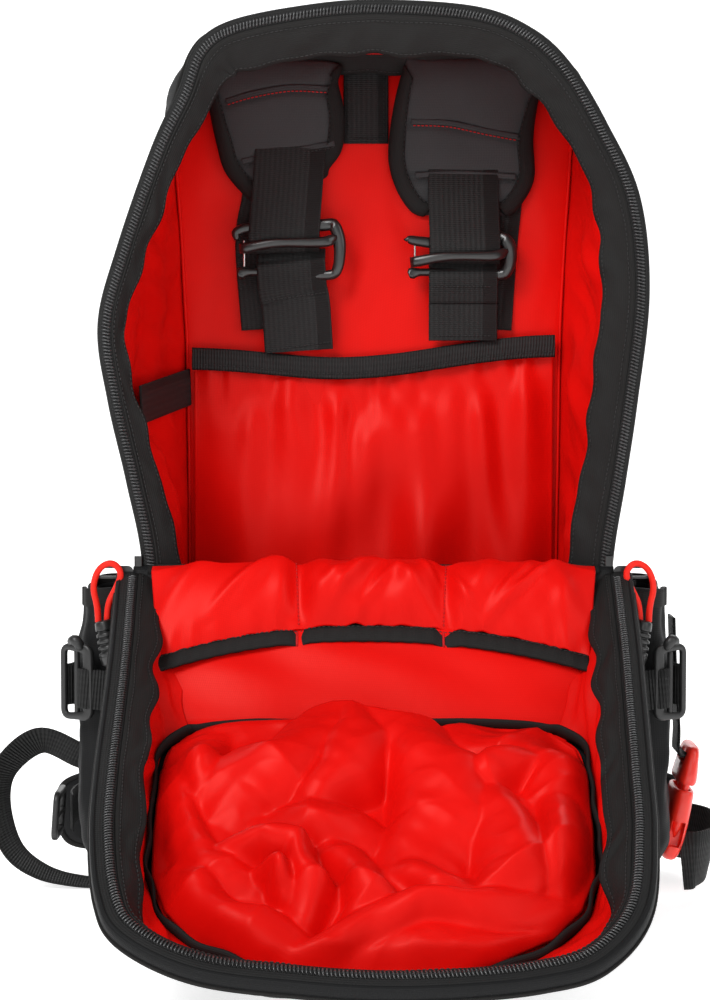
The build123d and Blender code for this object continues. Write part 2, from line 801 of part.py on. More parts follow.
with BuildPart() as webbing_hooks:
    for sign in (-1, 1):
        x = sign * hook_x
        with BuildLine(rear_plane(hook_y)) as hook_path:
            FilletPolyline(
                (x - hook_half, bar_middle + hook_slot / 2 - 4),
                (x - hook_half, upper_bar_height),
                (x + hook_half, upper_bar_height),
                (x + hook_half, lower_bar_height),
                (x - hook_half + 3, lower_bar_height),
                radius=hook_corner,
            )
        with BuildSketch(Plane(origin=hook_path.line @ 0, z_dir=(0, 0, 1))):
            Circle(hook_bar_radius)
        sweep(path=hook_path.line)
keep(webbing_hooks, "webbing_hooks")
gate_radius = 0.7
for side, sign in (("left", -1), ("right", 1)):
    gate_x = sign * hook_x - hook_half + hook_bar_radius + gate_radius + running_gap
    with BuildPart() as hook_gate:
        with BuildSketch(Plane(origin=(gate_x, hook_y, lower_bar_height + hook_bar_radius + 1))):
            Circle(gate_radius)
        extrude(amount=upper_bar_height - lower_bar_height - 2 * hook_bar_radius - 4)
    keep(hook_gate, f"hook_gate_{side}")


# sides: pocket, zipper slider with its pull, compression strap and its ladder lock
strap_level = 143.0
lock_x = pocket_half_width - 8
lock_y = rim_y + 1
lock_bar = 2.0
lock_length = 22.0
lock_cheek = 6.0
lock_height = narrow_webbing + 2 * lock_cheek + 2
slider_height = 12.0
slider_low = hinge_height - 6
slider_out = 2.0
tab_reach = 24.0
grip_top = 187.0
grip_bottom = 157.0
grip_x = 169.0
grip_y = rim_y - 2
cord_diameter = 4.0
for side, sign in (("left", -1), ("right", 1)):
    inner_front = sign * (tub_side(pocket_front_y) + 1)
    inner_rear = sign * (tub_side(pocket_rear_y) + 1)
    corners = [
        (inner_front, pocket_front_y),
        (sign * pocket_half_width, pocket_front_y),
        (sign * pocket_half_width, pocket_rear_y),
        (inner_rear, pocket_rear_y),
    ]
    with BuildPart() as side_pocket:
        with BuildSketch(Plane.XY.offset(pocket_bottom)) as pocket_plan:
            with BuildLine():
                Polyline(*corners, close=True)
            make_face()
            outer_corners = pocket_plan.vertices().sort_by(Axis.X)
            fillet(outer_corners[-2:] if sign > 0 else outer_corners[:2], pocket_radius)
        extrude(amount=pocket_top - pocket_bottom)
        with BuildSketch(Plane.XY.offset(pocket_bottom + cloth)):
            add(pocket_plan.sketch_local)
            offset(amount=-cloth / 2, mode=Mode.REPLACE)
        extrude(amount=pocket_top - pocket_bottom, mode=Mode.SUBTRACT)
    keep(side_pocket, f"side_pocket_{side}")

    slider_x = sign * (hinge_half_width + slider_out + 3)
    with BuildPart() as zipper_slider:
        with BuildSketch(Plane.XY.offset(slider_low)):
            with Locations((slider_x, rim_y + 3)):
                RectangleRounded(5, 5.6, 1)
        extrude(amount=slider_height)
    keep(zipper_slider, f"zipper_slider_{side}")
    tab_x = slider_x + sign * (3 + tab_reach / 2)
    with BuildPart() as pull_tab:
        with BuildSketch(rear_plane(rim_y + 2)):
            with Locations((tab_x, slider_low + 2)):
                SlotOverall(tab_reach, 8)
            with Locations((tab_x + sign * 3, slider_low + 2)):
                SlotOverall(tab_reach - 10, 4.9, mode=Mode.SUBTRACT)
        extrude(amount=1.6)
    keep(pull_tab, f"pull_tab_{side}")
    with BuildPart() as pull_grip:
        with BuildSketch(Plane.XY.offset(grip_bottom)):
            with Locations((sign * grip_x, grip_y)):
                Circle(7.5)
        with BuildSketch(Plane.XY.offset(grip_top)):
            with Locations((sign * grip_x, grip_y)):
                Circle(5.5)
        loft()
        grooves = 4
        pitch = (grip_top - grip_bottom) / (grooves + 2)
        for turn in range(grooves):
            with BuildSketch(Plane.XY.offset(grip_bottom + pitch * (turn + 1.7))):
                with Locations((sign * grip_x, grip_y)):
                    Circle(9)
                    Circle(4.6, mode=Mode.SUBTRACT)
            extrude(amount=1.6, mode=Mode.SUBTRACT)
    keep(pull_grip, f"pull_grip_{side}")

    with BuildPart() as ladder_lock:
        low = strap_level - lock_height / 2
        with BuildSketch(Plane.XY.offset(low)):
            with Locations((sign * lock_x, lock_y)):
                Circle(lock_bar)
        extrude(amount=lock_height)
        for level in (low, low + lock_height - lock_cheek + 0.5):
            with BuildSketch(Plane.XY.offset(level)):
                with Locations((sign * (lock_x + lock_length / 2), lock_y)):
                    SlotOverall(lock_length + 4, 4)
            extrude(amount=lock_cheek - 0.5)
        for reach, width in ((9, 3), (lock_length - 1, 5)):
            with BuildSketch(Plane.XY.offset(low)):
                with Locations((sign * (lock_x + reach), lock_y)):
                    RectangleRounded(width, 4, 1.2)
            extrude(amount=lock_height)
    keep(ladder_lock, f"ladder_lock_{side}")

loop_out = lock_bar + running_gap + webbing_thickness
with BuildPart() as compression_straps:
    for sign in (-1, 1):
        front_start = sign * (hinge_half_width + 4)
        with BuildSketch(Plane.XY.offset(strap_level - narrow_webbing / 2)):
            with Locations((sign * lock_x, lock_y)):
                Circle(loop_out)
            with BuildLine():
                Polyline(
                    (front_start, lock_y - loop_out),
                    (sign * lock_x, lock_y - loop_out),
                    (sign * lock_x, lock_y - loop_out + webbing_thickness),
                    (front_start, lock_y - loop_out + webbing_thickness),
                    close=True,
                )
            make_face()
            with Locations((sign * lock_x, lock_y)):
                Circle(lock_bar + running_gap, mode=Mode.SUBTRACT)
        extrude(amount=narrow_webbing)
        strap_x = sign * (pocket_half_width + 4)
        with BuildSketch(Plane.XY.offset(strap_level - narrow_webbing / 2)):
            with BuildLine():
                FilletPolyline(
                    (strap_x, lock_y + 5),
                    (strap_x, pocket_rear_y + 10),
                    (sign * (rear_base_half_width + 4), stay_y - 2),
                    radius=8,
                )
                offset(amount=webbing_thickness / 2, side=Side.BOTH)
            make_face()
        extrude(amount=narrow_webbing)
keep(compression_straps, "compression_straps")
with BuildPart() as strap_anchors:
    with BuildSketch(rear_plane(lock_y + 2)):
        for sign in (-1, 1):
            with Locations((sign * (hinge_half_width + 10), strap_level)):
                Rectangle(16, 2 * narrow_webbing - 6)
    extrude(amount=1.6)
keep(strap_anchors, "strap_anchors")

# zipper pull cords: a doubled cord from the grip, through the tab and back
cord_routes = {}
for side, sign in (("left", -1), ("right", 1)):
    cord_y = grip_y
    cord_routes[side] = [
        (sign * (grip_x + 3), cord_y, grip_top),
        (sign * (grip_x + 3), cord_y, grip_top + 9),
        (sign * (grip_x + 6.5), cord_y - 0.6, grip_top + 22),
        (sign * (grip_x + 2), cord_y - 4.5, grip_top + 34.5),
        (sign * (grip_x - 7), cord_y - 6.2, grip_top + 38.5),
        (sign * (grip_x - 13), cord_y - 5.2, grip_top + 31),
        (sign * (grip_x - 8.5), cord_y - 6, grip_top + 21),
        (sign * (grip_x - 2.6), cord_y, grip_top + 10.5),
        (sign * (grip_x - 2.6), cord_y, grip_top),
    ]
for side, route in cord_routes.items():
    points = [Vector(*point) for point in route]
    radii = []
    for before, corner, after in zip(points, points[1:], points[2:]):
        first = corner - before
        second = after - corner
        turn = math.radians(first.get_angle(second))
        radii.append(0.45 * min(first.length, second.length) / math.tan(turn / 2))
    print(side, "cord radii", [round(r, 1) for r in radii])
    with BuildPart() as pull_cord:
        with BuildLine() as path:
            FilletPolyline(*points, radius=radii)
        with BuildSketch(Plane(origin=points[0], z_dir=points[1] - points[0])):
            Circle(cord_diameter / 2)
        sweep(path=path.line)
    cord_length = path.wires()[0].length
    share = pull_cord.part.volume / (math.pi * cord_diameter**2 / 4 * cord_length)
    print(side, "cord length", round(cord_length, 1), "volume share", round(share, 3))
    keep(pull_cord, f"pull_cord_{side}")

# red hip buckle on the right, broad face outward
buckle_x = pocket_half_width + 13
buckle_y = 22.0
buckle_bottom = 24.0
buckle_female_height = 48.0
buckle_width = 46.0
buckle_thickness = 14.0
buckle_wall = 2.5
buckle_gap = 4.0
male_height = 25.0
prong_length = 32.0
prong_offset = 15.0
prong_width = 5.0
prong_thickness = 5.0
female_top = buckle_bottom + buckle_female_height
with BuildPart() as buckle_female:
    with BuildSketch(Plane.XY.offset(buckle_bottom)):
        with Locations((buckle_x, buckle_y)):
            RectangleRounded(buckle_thickness, buckle_width, 5)
    extrude(amount=buckle_female_height)
    fillet(buckle_female.faces().sort_by(Axis.Z)[0].edges(), 4)
    cavity_floor = buckle_bottom + 10
    with BuildSketch(Plane.XY.offset(cavity_floor)):
        with Locations((buckle_x, buckle_y)):
            Rectangle(buckle_thickness - 2 * buckle_wall, buckle_width - 2 * buckle_wall)
    extrude(amount=buckle_female_height, mode=Mode.SUBTRACT)
    with BuildSketch(Plane.XZ.offset(-buckle_y - buckle_width)):
        with Locations((buckle_x, female_top - 24)):
            RectangleRounded(7, 18, 2)
    extrude(amount=2 * buckle_width, mode=Mode.SUBTRACT)
keep(buckle_female, "buckle_female")
male_low = female_top + buckle_gap
with BuildPart() as buckle_male:
    with BuildSketch(Plane.YZ.offset(buckle_x - 4)):
        with Locations((buckle_y, male_low + male_height / 2)):
            RectangleRounded(buckle_width - 4, male_height, 6)
        with Locations((buckle_y, male_low + male_height - 9)):
            RectangleRounded(wide_webbing - 6, 7, 2, mode=Mode.SUBTRACT)
    extrude(amount=8)
    with BuildSketch(Plane.XY.offset(male_low - prong_length)):
        with Locations((buckle_x, buckle_y)):
            Rectangle(4, 8)
    extrude(amount=prong_length)
keep(buckle_male, "buckle_male")
for name, direction in (("front", -1), ("rear", 1)):
    with BuildPart() as prong:
        with BuildSketch(Plane.XY.offset(male_low - prong_length)):
            with Locations((buckle_x, buckle_y + direction * prong_offset)):
                RectangleRounded(prong_thickness, prong_width, 1)
        extrude(amount=prong_length - running_gap)
    keep(prong, f"buckle_prong_{name}")
with BuildPart() as buckle_strap:
    buckle_strap_x = buckle_x - 4 - running_gap - webbing_thickness
    with BuildSketch(Plane.XY.offset(male_low + male_height - 14)):
        with Locations((buckle_strap_x + webbing_thickness / 2, buckle_y)):
            Rectangle(webbing_thickness, wide_webbing - 8)
    extrude(amount=98)
keep(buckle_strap, "buckle_strap")

# hip fins, hinged at the rear corners
fin_root = 106.0
fin_tip = 218.0
fin_thickness = 12.0
fin_bottom = 12.0
fin_height_root = 70.0
fin_height_tip = 46.0
fin_y = back_y + 1
for side, sign in (("left", -1), ("right", 1)):
    with BuildPart() as hip_fin:
        with BuildSketch(rear_plane(fin_y + fin_thickness)):
            with BuildLine():
                Polyline(
                    (sign * fin_root, fin_bottom),
                    (sign * fin_tip, fin_bottom + 4),
                    (sign * fin_tip, fin_bottom + fin_height_tip),
                    (sign * fin_root, fin_bottom + fin_height_root),
                    close=True,
                )
            make_face()
        extrude(amount=fin_thickness)
        tip_edges = hip_fin.edges().filter_by(Axis.Y).sort_by(Axis.X)
        fillet(tip_edges[-2:] if sign > 0 else tip_edges[:2], 14)
    keep(hip_fin, f"hip_fin_{side}")

ribbed_level = 8.0
ribbed_x = buckle_x + buckle_thickness / 2 + 1.3
with BuildPart() as hip_webbing_right:
    with BuildSketch(Plane.XY.offset(ribbed_level)):
        with BuildLine():
            FilletPolyline(
                (ribbed_x, buckle_y - 12),
                (ribbed_x + 14, buckle_y + 20),
                (ribbed_x + 10, fin_y - 26),
                (fin_tip - 22, fin_y - 2),
                (fin_tip - 50, fin_y - 2.01),
                radius=10,
            )
            offset(amount=webbing_thickness / 2, side=Side.BOTH)
        make_face()
    extrude(amount=wide_webbing)
keep(hip_webbing_right, "hip_webbing_right")

# left hip webbing: from the fin through a tri-glide, round in a loop and along the floor
tail_y = 34.0
loop_far = 250.0
fin_strap_level = 50.0
with BuildPart() as hip_webbing_left:
    with BuildSketch(Plane.XZ.offset(-(tail_y + narrow_webbing))):
        with BuildLine():
            FilletPolyline(
                (-pocket_half_width - 6, 88),
                (-pocket_half_width - 32, 98),
                (-loop_far + 1, 78),
                (-loop_far + 1, 42),
                (-loop_far + 26, 12),
                (-pocket_half_width - 6, 2.4),
                (-pocket_half_width + 24, 1.2),
                radius=[12, 14, 16, 16, 30],
            )
            offset(amount=webbing_thickness / 2, side=Side.BOTH)
        make_face()
    extrude(amount=narrow_webbing)
    with BuildSketch(Plane.XY.offset(fin_strap_level - narrow_webbing / 2)):
        with BuildLine():
            FilletPolyline(
                (-pocket_half_width - 8, tail_y + 4),
                (-pocket_half_width - 9, fin_y - 14),
                (-pocket_half_width + 8, fin_y - 2),
                (-pocket_half_width + 40, fin_y - 2.01),
                radius=8,
            )
            offset(amount=webbing_thickness / 2, side=Side.BOTH)
        make_face()
    extrude(amount=narrow_webbing)
keep(hip_webbing_left, "hip_webbing_left")
with BuildPart() as tri_glide:
    with BuildSketch(Plane.YZ.offset(-pocket_half_width - 22)):
        with Locations((tail_y + 12, fin_strap_level)):
            RectangleRounded(34, 26, 4)
        for step in (-6, 6):
            with Locations((tail_y + 12, fin_strap_level + step)):
                RectangleRounded(27, 6, 1.5, mode=Mode.SUBTRACT)
    extrude(amount=5)
keep(tri_glide, "tri_glide")

# wearer's side: padding, harness, handle
with BuildPart() as back_pads:
    with BuildSketch(rear_plane(back_y + layer_gap)):
        with Locations((-56, 330), (56, 330)):
            RectangleRounded(84, 290, 24)
    extrude(amount=-7)
    with BuildSketch(rear_plane(back_y + layer_gap)):
        with Locations((0, 95)):
            RectangleRounded(140, 120, 28)
    extrude(amount=-12)
keep(back_pads, "back_pads")

harness_x = 66.0
harness_width = 74.0
harness_thickness = 14.0
harness_top = pack_height - 36
harness_low = 232.0
harness_bow = 44.0
harness_y = back_y + 4
sternum_level = 400.0
web_half = narrow_webbing / 2
with BuildPart() as shoulder_straps:
    for sign in (-1, 1):
        with BuildSketch(Plane.YZ.offset(sign * harness_x - harness_width / 2)):
            with BuildLine():
                inner_arc = ThreePointArc(
                    (harness_y, harness_top),
                    (harness_y + harness_bow, sternum_level),
                    (harness_y + 14, harness_low),
                )
                outer_arc = ThreePointArc(
                    (harness_y + harness_thickness, harness_top + 3),
                    (harness_y + harness_bow + harness_thickness, sternum_level),
                    (harness_y + 14 + harness_thickness, harness_low - 3),
                )
                Line(inner_arc @ 0, outer_arc @ 0)
                Line(inner_arc @ 1, outer_arc @ 1)
            make_face()
        extrude(amount=harness_width)
keep(shoulder_straps, "shoulder_straps")
with BuildPart() as lower_webbing:
    for sign in (-1, 1):
        with BuildSketch(Plane.YZ.offset(sign * 88.5 - web_half)):
            with BuildLine():
                Polyline((harness_y + 22, harness_low - 6), (back_y + 3, 30))
                offset(amount=webbing_thickness / 2, side=Side.BOTH)
            make_face()
        extrude(amount=narrow_webbing)
keep(lower_webbing, "lower_webbing")

sternum_y = harness_y + harness_bow + harness_thickness + 1.2
with BuildPart() as sternum_strap:
    with BuildSketch(Plane.XY.offset(sternum_level - 10)):
        for sign in (-1, 1):
            with Locations((sign * 52, sternum_y + 0.8)):
                Rectangle(60, webbing_thickness)
    extrude(amount=20)
keep(sternum_strap, "sternum_strap")
with BuildPart() as sternum_clip:
    with BuildSketch(Plane.XY.offset(sternum_level - 13)):
        with Locations((0, sternum_y + 1)):
            RectangleRounded(42, 9, 3)
    extrude(amount=26)
keep(sternum_clip, "sternum_clip")

handle_height = 24.0
handle_half = 46.0
handle_pivot = rear_top - 4
with BuildPart() as haul_handle:
    with BuildSketch(rear_plane(back_y + 1)):
        with BuildLine():
            FilletPolyline(
                (-handle_half, handle_pivot - 4),
                (-handle_half + 6, handle_pivot + handle_height),
                (handle_half - 6, handle_pivot + handle_height),
                (handle_half, handle_pivot - 4),
                radius=10,
            )
            offset(amount=5, side=Side.BOTH)
        make_face()
    extrude(amount=-3)
keep(haul_handle, "haul_handle")
print("flap tilt", round(flap_tilt, 2), "closing angle", round(90 + flap_tilt, 2))
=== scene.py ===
import math
import bmesh
import bpy
import numpy as np
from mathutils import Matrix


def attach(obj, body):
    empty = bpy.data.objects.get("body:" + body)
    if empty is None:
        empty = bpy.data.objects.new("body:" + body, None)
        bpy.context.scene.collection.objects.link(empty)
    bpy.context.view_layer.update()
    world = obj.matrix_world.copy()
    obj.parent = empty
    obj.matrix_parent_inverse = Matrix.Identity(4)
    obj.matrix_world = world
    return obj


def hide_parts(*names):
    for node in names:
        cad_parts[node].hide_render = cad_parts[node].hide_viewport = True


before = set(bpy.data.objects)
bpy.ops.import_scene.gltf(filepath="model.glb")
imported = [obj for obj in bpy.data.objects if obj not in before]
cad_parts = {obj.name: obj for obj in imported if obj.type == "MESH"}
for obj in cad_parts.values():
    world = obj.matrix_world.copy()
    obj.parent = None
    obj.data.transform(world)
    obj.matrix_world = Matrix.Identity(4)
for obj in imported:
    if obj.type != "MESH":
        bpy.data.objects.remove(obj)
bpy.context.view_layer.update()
mm = 0.001
tau = 2 * math.pi

view = {"distance": 1500, "height": 342, "tiltDown": 3.1, "lens": 84.1, "shift": -0.0185}


def makeCamera():
    data = bpy.data.cameras.new("camera")
    data.sensor_fit = "VERTICAL"
    data.sensor_height = 36
    data.lens = view["lens"]
    data.shift_x = view["shift"]
    camera = bpy.data.objects.new("camera", data)
    camera.location = (0, -view["distance"] * mm, view["height"] * mm)
    camera.rotation_euler = (math.radians(90 - view["tiltDown"]), 0, 0)
    bpy.context.scene.collection.objects.link(camera)
    bpy.context.scene.camera = camera


def makeLight(name, place, target, size, power):
    data = bpy.data.lights.new(name, "AREA")
    data.shape = "RECTANGLE"
    data.size, data.size_y = size
    data.energy = power
    lamp = bpy.data.objects.new(name, data)
    lamp.location = place
    direction = np.array(target, float) - np.array(place, float)
    flat = math.hypot(direction[0], direction[1])
    lamp.rotation_euler = (math.atan2(flat, -direction[2]), 0, math.atan2(direction[1], direction[0]) - math.pi / 2)
    bpy.context.scene.collection.objects.link(lamp)


def makeStudio():
    bpy.context.scene.view_settings.view_transform = "Standard"
    world = bpy.data.worlds.new("studio")
    bpy.context.scene.world = world
    world.use_nodes = True
    world.node_tree.nodes["Background"].inputs["Color"].default_value = (1, 1, 1, 1)
    world.node_tree.nodes["Background"].inputs["Strength"].default_value = 0.22
    makeLight("keyLight", (-1.1, -1.7, 1.9), (0, 0, 0.3), (1.2, 1.2), 50)
    makeLight("fillLight", (1.5, -1.3, 1.2), (0, 0, 0.25), (1.2, 1.6), 12)
    makeLight("frontLight", (0, -2.2, 0.7), (0, 0, 0.25), (1.6, 0.9), 6)
    makeLight("rearLight", (0.3, 1.8, 1.6), (0, 0, 0.3), (1.6, 1.2), 16)
    # floor that curves up into a wall behind: flat, a quarter circle, then straight up
    turn = np.linspace(0, math.pi / 2, 24)
    run = np.concatenate([[[-6000, 0]], np.stack([2500 + 1500 * np.sin(turn), 1500 * (1 - np.cos(turn))], 1),
                          [[4000, 6000]]])
    across = np.linspace(-7000, 7000, 3)
    grid = np.stack([np.stack([np.full(len(run), x), run[:, 0], run[:, 1]], 1) for x in across], 1)
    floor = sheetPiece("studioFloor", grid, (0, -1, 1))
    floor.data.materials.append(floorFinish())


class Sock:
    # a shader socket that numbers and other sockets can be combined with
    def __init__(self, finish, out):
        self.finish = finish
        self.out = out

    def maths(self, operation, *others):
        return self.finish.node("ShaderNodeMath", {"operation": operation}, [self, *others])

    def __add__(self, other):
        return self.maths("ADD", other)

    def __sub__(self, other):
        return self.maths("SUBTRACT", other)

    def __rsub__(self, other):
        return self.maths("MULTIPLY", -1).maths("ADD", other)

    def __mul__(self, other):
        return self.maths("MULTIPLY", other)

    def __truediv__(self, other):
        return self.maths("DIVIDE", other)

    __radd__ = __add__
    __rmul__ = __mul__


class Finish:
    # one material and the ways to add nodes to it
    def __init__(self, name):
        self.material = bpy.data.materials.new(name)
        self.material.use_nodes = True
        self.tree = self.material.node_tree
        self.shader = self.tree.nodes["Principled BSDF"]

    def node(self, kind, settings=None, values=(), out=0):
        made = self.tree.nodes.new(kind)
        for key, value in (settings or {}).items():
            if key == "stops":
                ramp = made.color_ramp.elements
                for element, (place, color) in zip([ramp[0], ramp[1]], value):
                    element.position = place
                    element.color = (*color, 1)
                for place, color in value[2:]:
                    ramp.new(place).color = (*color, 1)
            else:
                setattr(made, key, value)
        pairs = values.items() if isinstance(values, dict) else enumerate(values)
        for key, value in pairs:
            if isinstance(value, Sock):
                self.tree.links.new(value.out, made.inputs[key])
            elif value is not None:
                made.inputs[key].default_value = value
        return Sock(self, made.outputs[out])

    def uv(self):
        place = self.node("ShaderNodeUVMap", {"uv_map": "cloth"})
        parts = self.tree.nodes.new("ShaderNodeSeparateXYZ")
        self.tree.links.new(place.out, parts.inputs[0])
        return Sock(self, parts.outputs[0]), Sock(self, parts.outputs[1])

    def place(self):
        return self.node("ShaderNodeTexCoord", out=3)

    def noise(self, scale, detail=3, roughness=0.55, where=None):
        values = {"Vector": where or self.place(), "Scale": scale, "Detail": detail, "Roughness": roughness}
        return self.node("ShaderNodeTexNoise", values=values)

    def ramp(self, value, stops):
        return self.node("ShaderNodeValToRGB", {"stops": stops}, [value])

    def wave(self, value, pitch):
        # sine of a length in metres, from 0 to 1, one wave per pitch
        return (value * (tau / pitch)).maths("SINE") * 0.5 + 0.5

    def give(self, **sockets):
        for name, value in sockets.items():
            target = self.shader.inputs[name.replace("_", " ")]
            if isinstance(value, Sock):
                self.tree.links.new(value.out, target)
            else:
                target.default_value = value

    def bump(self, height, distance, strength=1.0):
        values = {"Height": height, "Distance": distance, "Strength": strength}
        self.give(Normal=self.node("ShaderNodeBump", values=values))


def clothFinish(name, dark, light, threadU, threadV, relief, rough, cloud=9, sheen=0.0, ribs=0.5):
    # woven cloth: threads cross at two pitches, with slow cloudiness in colour and roughness, and the weave relief
    # painted into the colour as painted shade in the gaps between threads
    finish = Finish(name)
    u, v = finish.uv()
    warp = finish.wave(u, threadU)
    weft = finish.wave(v, threadV)
    weave = warp * ribs + weft * (1 - ribs)
    fuzz = finish.noise(900, 2)
    clouds = finish.noise(cloud, 4)
    # colour: random clouds and fuzz, plus the weave relief painted in, thread tops lighter and gaps darker as painted
    # shade
    tone = clouds * 0.5 + weave * 0.3 + fuzz * 0.2
    finish.give(Base_Color=finish.ramp(tone, [(0.25, dark), (0.75, light)]))
    finish.give(Roughness=clouds * (rough[1] - rough[0]) + rough[0])
    finish.give(Sheen_Weight=sheen, Sheen_Roughness=0.4, Specular_IOR_Level=0.17)
    finish.bump(weave + fuzz * 0.35, relief * mm)
    return finish.material


def satinFinish(name, dark, light, rough, sheen):
    # coated satin lining: very fine threads, slight crinkle, broad soft highlights; the fine threads are also painted
    # into the colour, darker in their gaps as painted shade
    finish = Finish(name)
    u, v = finish.uv()
    threads = finish.wave(u, 0.0011) * finish.wave(v, 0.0011)
    clouds = finish.noise(7, 4)
    crinkle = finish.noise(60, 5, 0.6)
    # colour: random clouds plus the thread relief painted in, its gaps darker as painted shade
    finish.give(Base_Color=finish.ramp(clouds * 0.7 + threads * 0.3, [(0.2, dark), (0.8, light)]))
    finish.give(Roughness=clouds * (rough[1] - rough[0]) + rough[0])
    finish.give(Sheen_Weight=sheen, Sheen_Roughness=0.3, Sheen_Tint=(1, 0.12, 0.08, 1), Specular_IOR_Level=0.32,
                Specular_Tint=(1, 0.3, 0.26, 1))
    finish.bump(threads * 0.12 + crinkle, 0.35 * mm, 0.6)
    return finish.material


def mouldedFinish(name, dark, light, rough, coat=0.0, grain=300, relief=0.05, metal=0.0):
    # moulded or coated part: fine grain, faint handling marks in roughness
    finish = Finish(name)
    speck = finish.noise(grain, 3)
    clouds = finish.noise(14, 4)
    scratch = finish.noise(120, 6, 0.7)
    finish.give(Base_Color=finish.ramp(clouds * 0.6 + speck * 0.4, [(0.3, dark), (0.7, light)]))
    finish.give(Roughness=scratch * (rough[1] - rough[0]) + rough[0])
    finish.give(Coat_Weight=coat, Metallic=metal)
    finish.bump(speck, relief * mm)
    return finish.material


def meshFinish():
    # spacer mesh: rows of small holes between knitted yarns, the holes painted near black as painted shade inside
    # them
    finish = Finish("spacerMesh")
    u, v = finish.uv()
    holes = finish.wave(u, 0.003) * finish.wave(v, 0.0022)
    clouds = finish.noise(10, 4)
    # the holes are painted near black as painted shade inside them; the yarn between them is lighter
    finish.give(Base_Color=finish.ramp(holes, [(0.3, (0.024, 0.024, 0.026)), (0.6, (0.003, 0.003, 0.003))]))
    finish.give(Roughness=clouds * 0.2 + 0.7)
    finish.bump(1 - holes, 1.2 * mm)
    return finish.material


def floorFinish():
    finish = Finish("studioFloor")
    clouds = finish.noise(0.6, 2)
    finish.give(Base_Color=finish.ramp(clouds, [(0.3, (0.86, 0.86, 0.86)), (0.7, (0.9, 0.9, 0.9))]))
    finish.give(Roughness=0.7, Emission_Color=(1, 1, 1, 1), Emission_Strength=0.72)
    return finish.material


black = (0.004, 0.0041, 0.0044)
softBlack = (0.009, 0.0092, 0.0097)
finishes = {
    "nylon": clothFinish("packNylon", black, softBlack, 0.0012, 0.0012, 0.12, (0.5, 0.66)),
    "ripstop": clothFinish("strapRipstop", (0.026, 0.026, 0.027), (0.044, 0.044, 0.046), 0.0011, 0.0011, 0.12,
                           (0.5, 0.62)),
    "webbing": clothFinish("strapWebbing", (0.006, 0.006, 0.006), (0.026, 0.026, 0.026), 0.0034, 0.0013, 0.35,
                           (0.55, 0.72)),
    "ribbed": clothFinish("ribbedWebbing", (0.006, 0.006, 0.006), (0.03, 0.03, 0.03), 0.0042, 0.0019, 0.6, (0.5, 0.7),
                          ribs=0.3),
    "binding": clothFinish("edgeBinding", (0.0065, 0.0062, 0.006), (0.018, 0.017, 0.0165), 0.0013, 0.0009, 0.12,
                           (0.6, 0.8)),
    "tape": clothFinish("zipperTape", (0.006, 0.006, 0.006), (0.02, 0.02, 0.02), 0.0016, 0.0016, 0.2, (0.55, 0.7)),
    "thread": clothFinish("blackThread", (0.012, 0.012, 0.012), (0.045, 0.045, 0.045), 0.0006, 0.0006, 0.05,
                          (0.5, 0.7)),
    "redThread": clothFinish("redThread", (0.35, 0.004, 0.006), (0.6, 0.02, 0.02), 0.0006, 0.0006, 0.05, (0.5, 0.7)),
    "cord": clothFinish("braidedCord", (0.62, 0.006, 0.004), (0.9, 0.03, 0.015), 0.0014, 0.0018, 0.35, (0.45, 0.62)),
    "satin": satinFinish("redSatin", (0.62, 0.003, 0.002), (0.80, 0.006, 0.004), (0.34, 0.46), 0.015),
    "mesh": meshFinish(),
    "coil": mouldedFinish("zipperCoil", (0.02, 0.02, 0.02), (0.06, 0.06, 0.062), (0.22, 0.4), 0.3),
    "acetal": mouldedFinish("blackAcetal", (0.009, 0.009, 0.009), (0.018, 0.018, 0.018), (0.4, 0.55), 0.1),
    "rubber": mouldedFinish("gripRubber", (0.006, 0.006, 0.006), (0.016, 0.016, 0.016), (0.3, 0.45), 0.2),
    "redAcetal": mouldedFinish("redAcetal", (0.86, 0.016, 0.008), (0.95, 0.035, 0.014), (0.3, 0.42), 0.25, 200, 0.02),
    "hookMetal": mouldedFinish("blackCoatedMetal", (0.006, 0.006, 0.006), (0.014, 0.014, 0.014), (0.24, 0.4), 0.3),
    "steel": mouldedFinish("gateWire", (0.55, 0.54, 0.52), (0.72, 0.71, 0.7), (0.2, 0.35), metal=1.0),
    "aluminium": mouldedFinish("stayMetal", (0.6, 0.6, 0.62), (0.72, 0.72, 0.74), (0.35, 0.5), metal=1.0),
}
print("materials made")


def lengths(line):
    # distance along a line at each of its points
    steps = np.linalg.norm(np.diff(line, axis=0), axis=1)
    return np.concatenate([[0], np.cumsum(steps)])


def evenly(line, count):
    # the same line with its points spread evenly
    at = lengths(line)
    new = np.linspace(0, at[-1], count)
    return np.stack([np.interp(new, at, line[:, k]) for k in range(line.shape[1])], 1)


def smoothLine(points, count):
    # Catmull-Rom curve through the points: each span is a cubic set by its four neighbours
    p = np.array(points, float)
    p = np.concatenate([[2 * p[0] - p[1]], p, [2 * p[-1] - p[-2]]])
    t = np.linspace(0, 1, 24, endpoint=False)[None, :, None]
    a, b, c, d = (p[i : len(p) - 3 + i, None] for i in range(4))
    spans = 0.5 * (2 * b + (c - a) * t + (2 * a - 5 * b + 4 * c - d) * t**2 + (3 * b - a - 3 * c + d) * t**3)
    line = np.concatenate([spans.reshape(-1, p.shape[1]), p[-2:-1]])
    return evenly(line, count)


def unit(vectors):
    return vectors / np.maximum(np.linalg.norm(vectors, axis=-1, keepdims=True), 1e-9)


def tangents(line):
    return unit(np.gradient(line, axis=0))


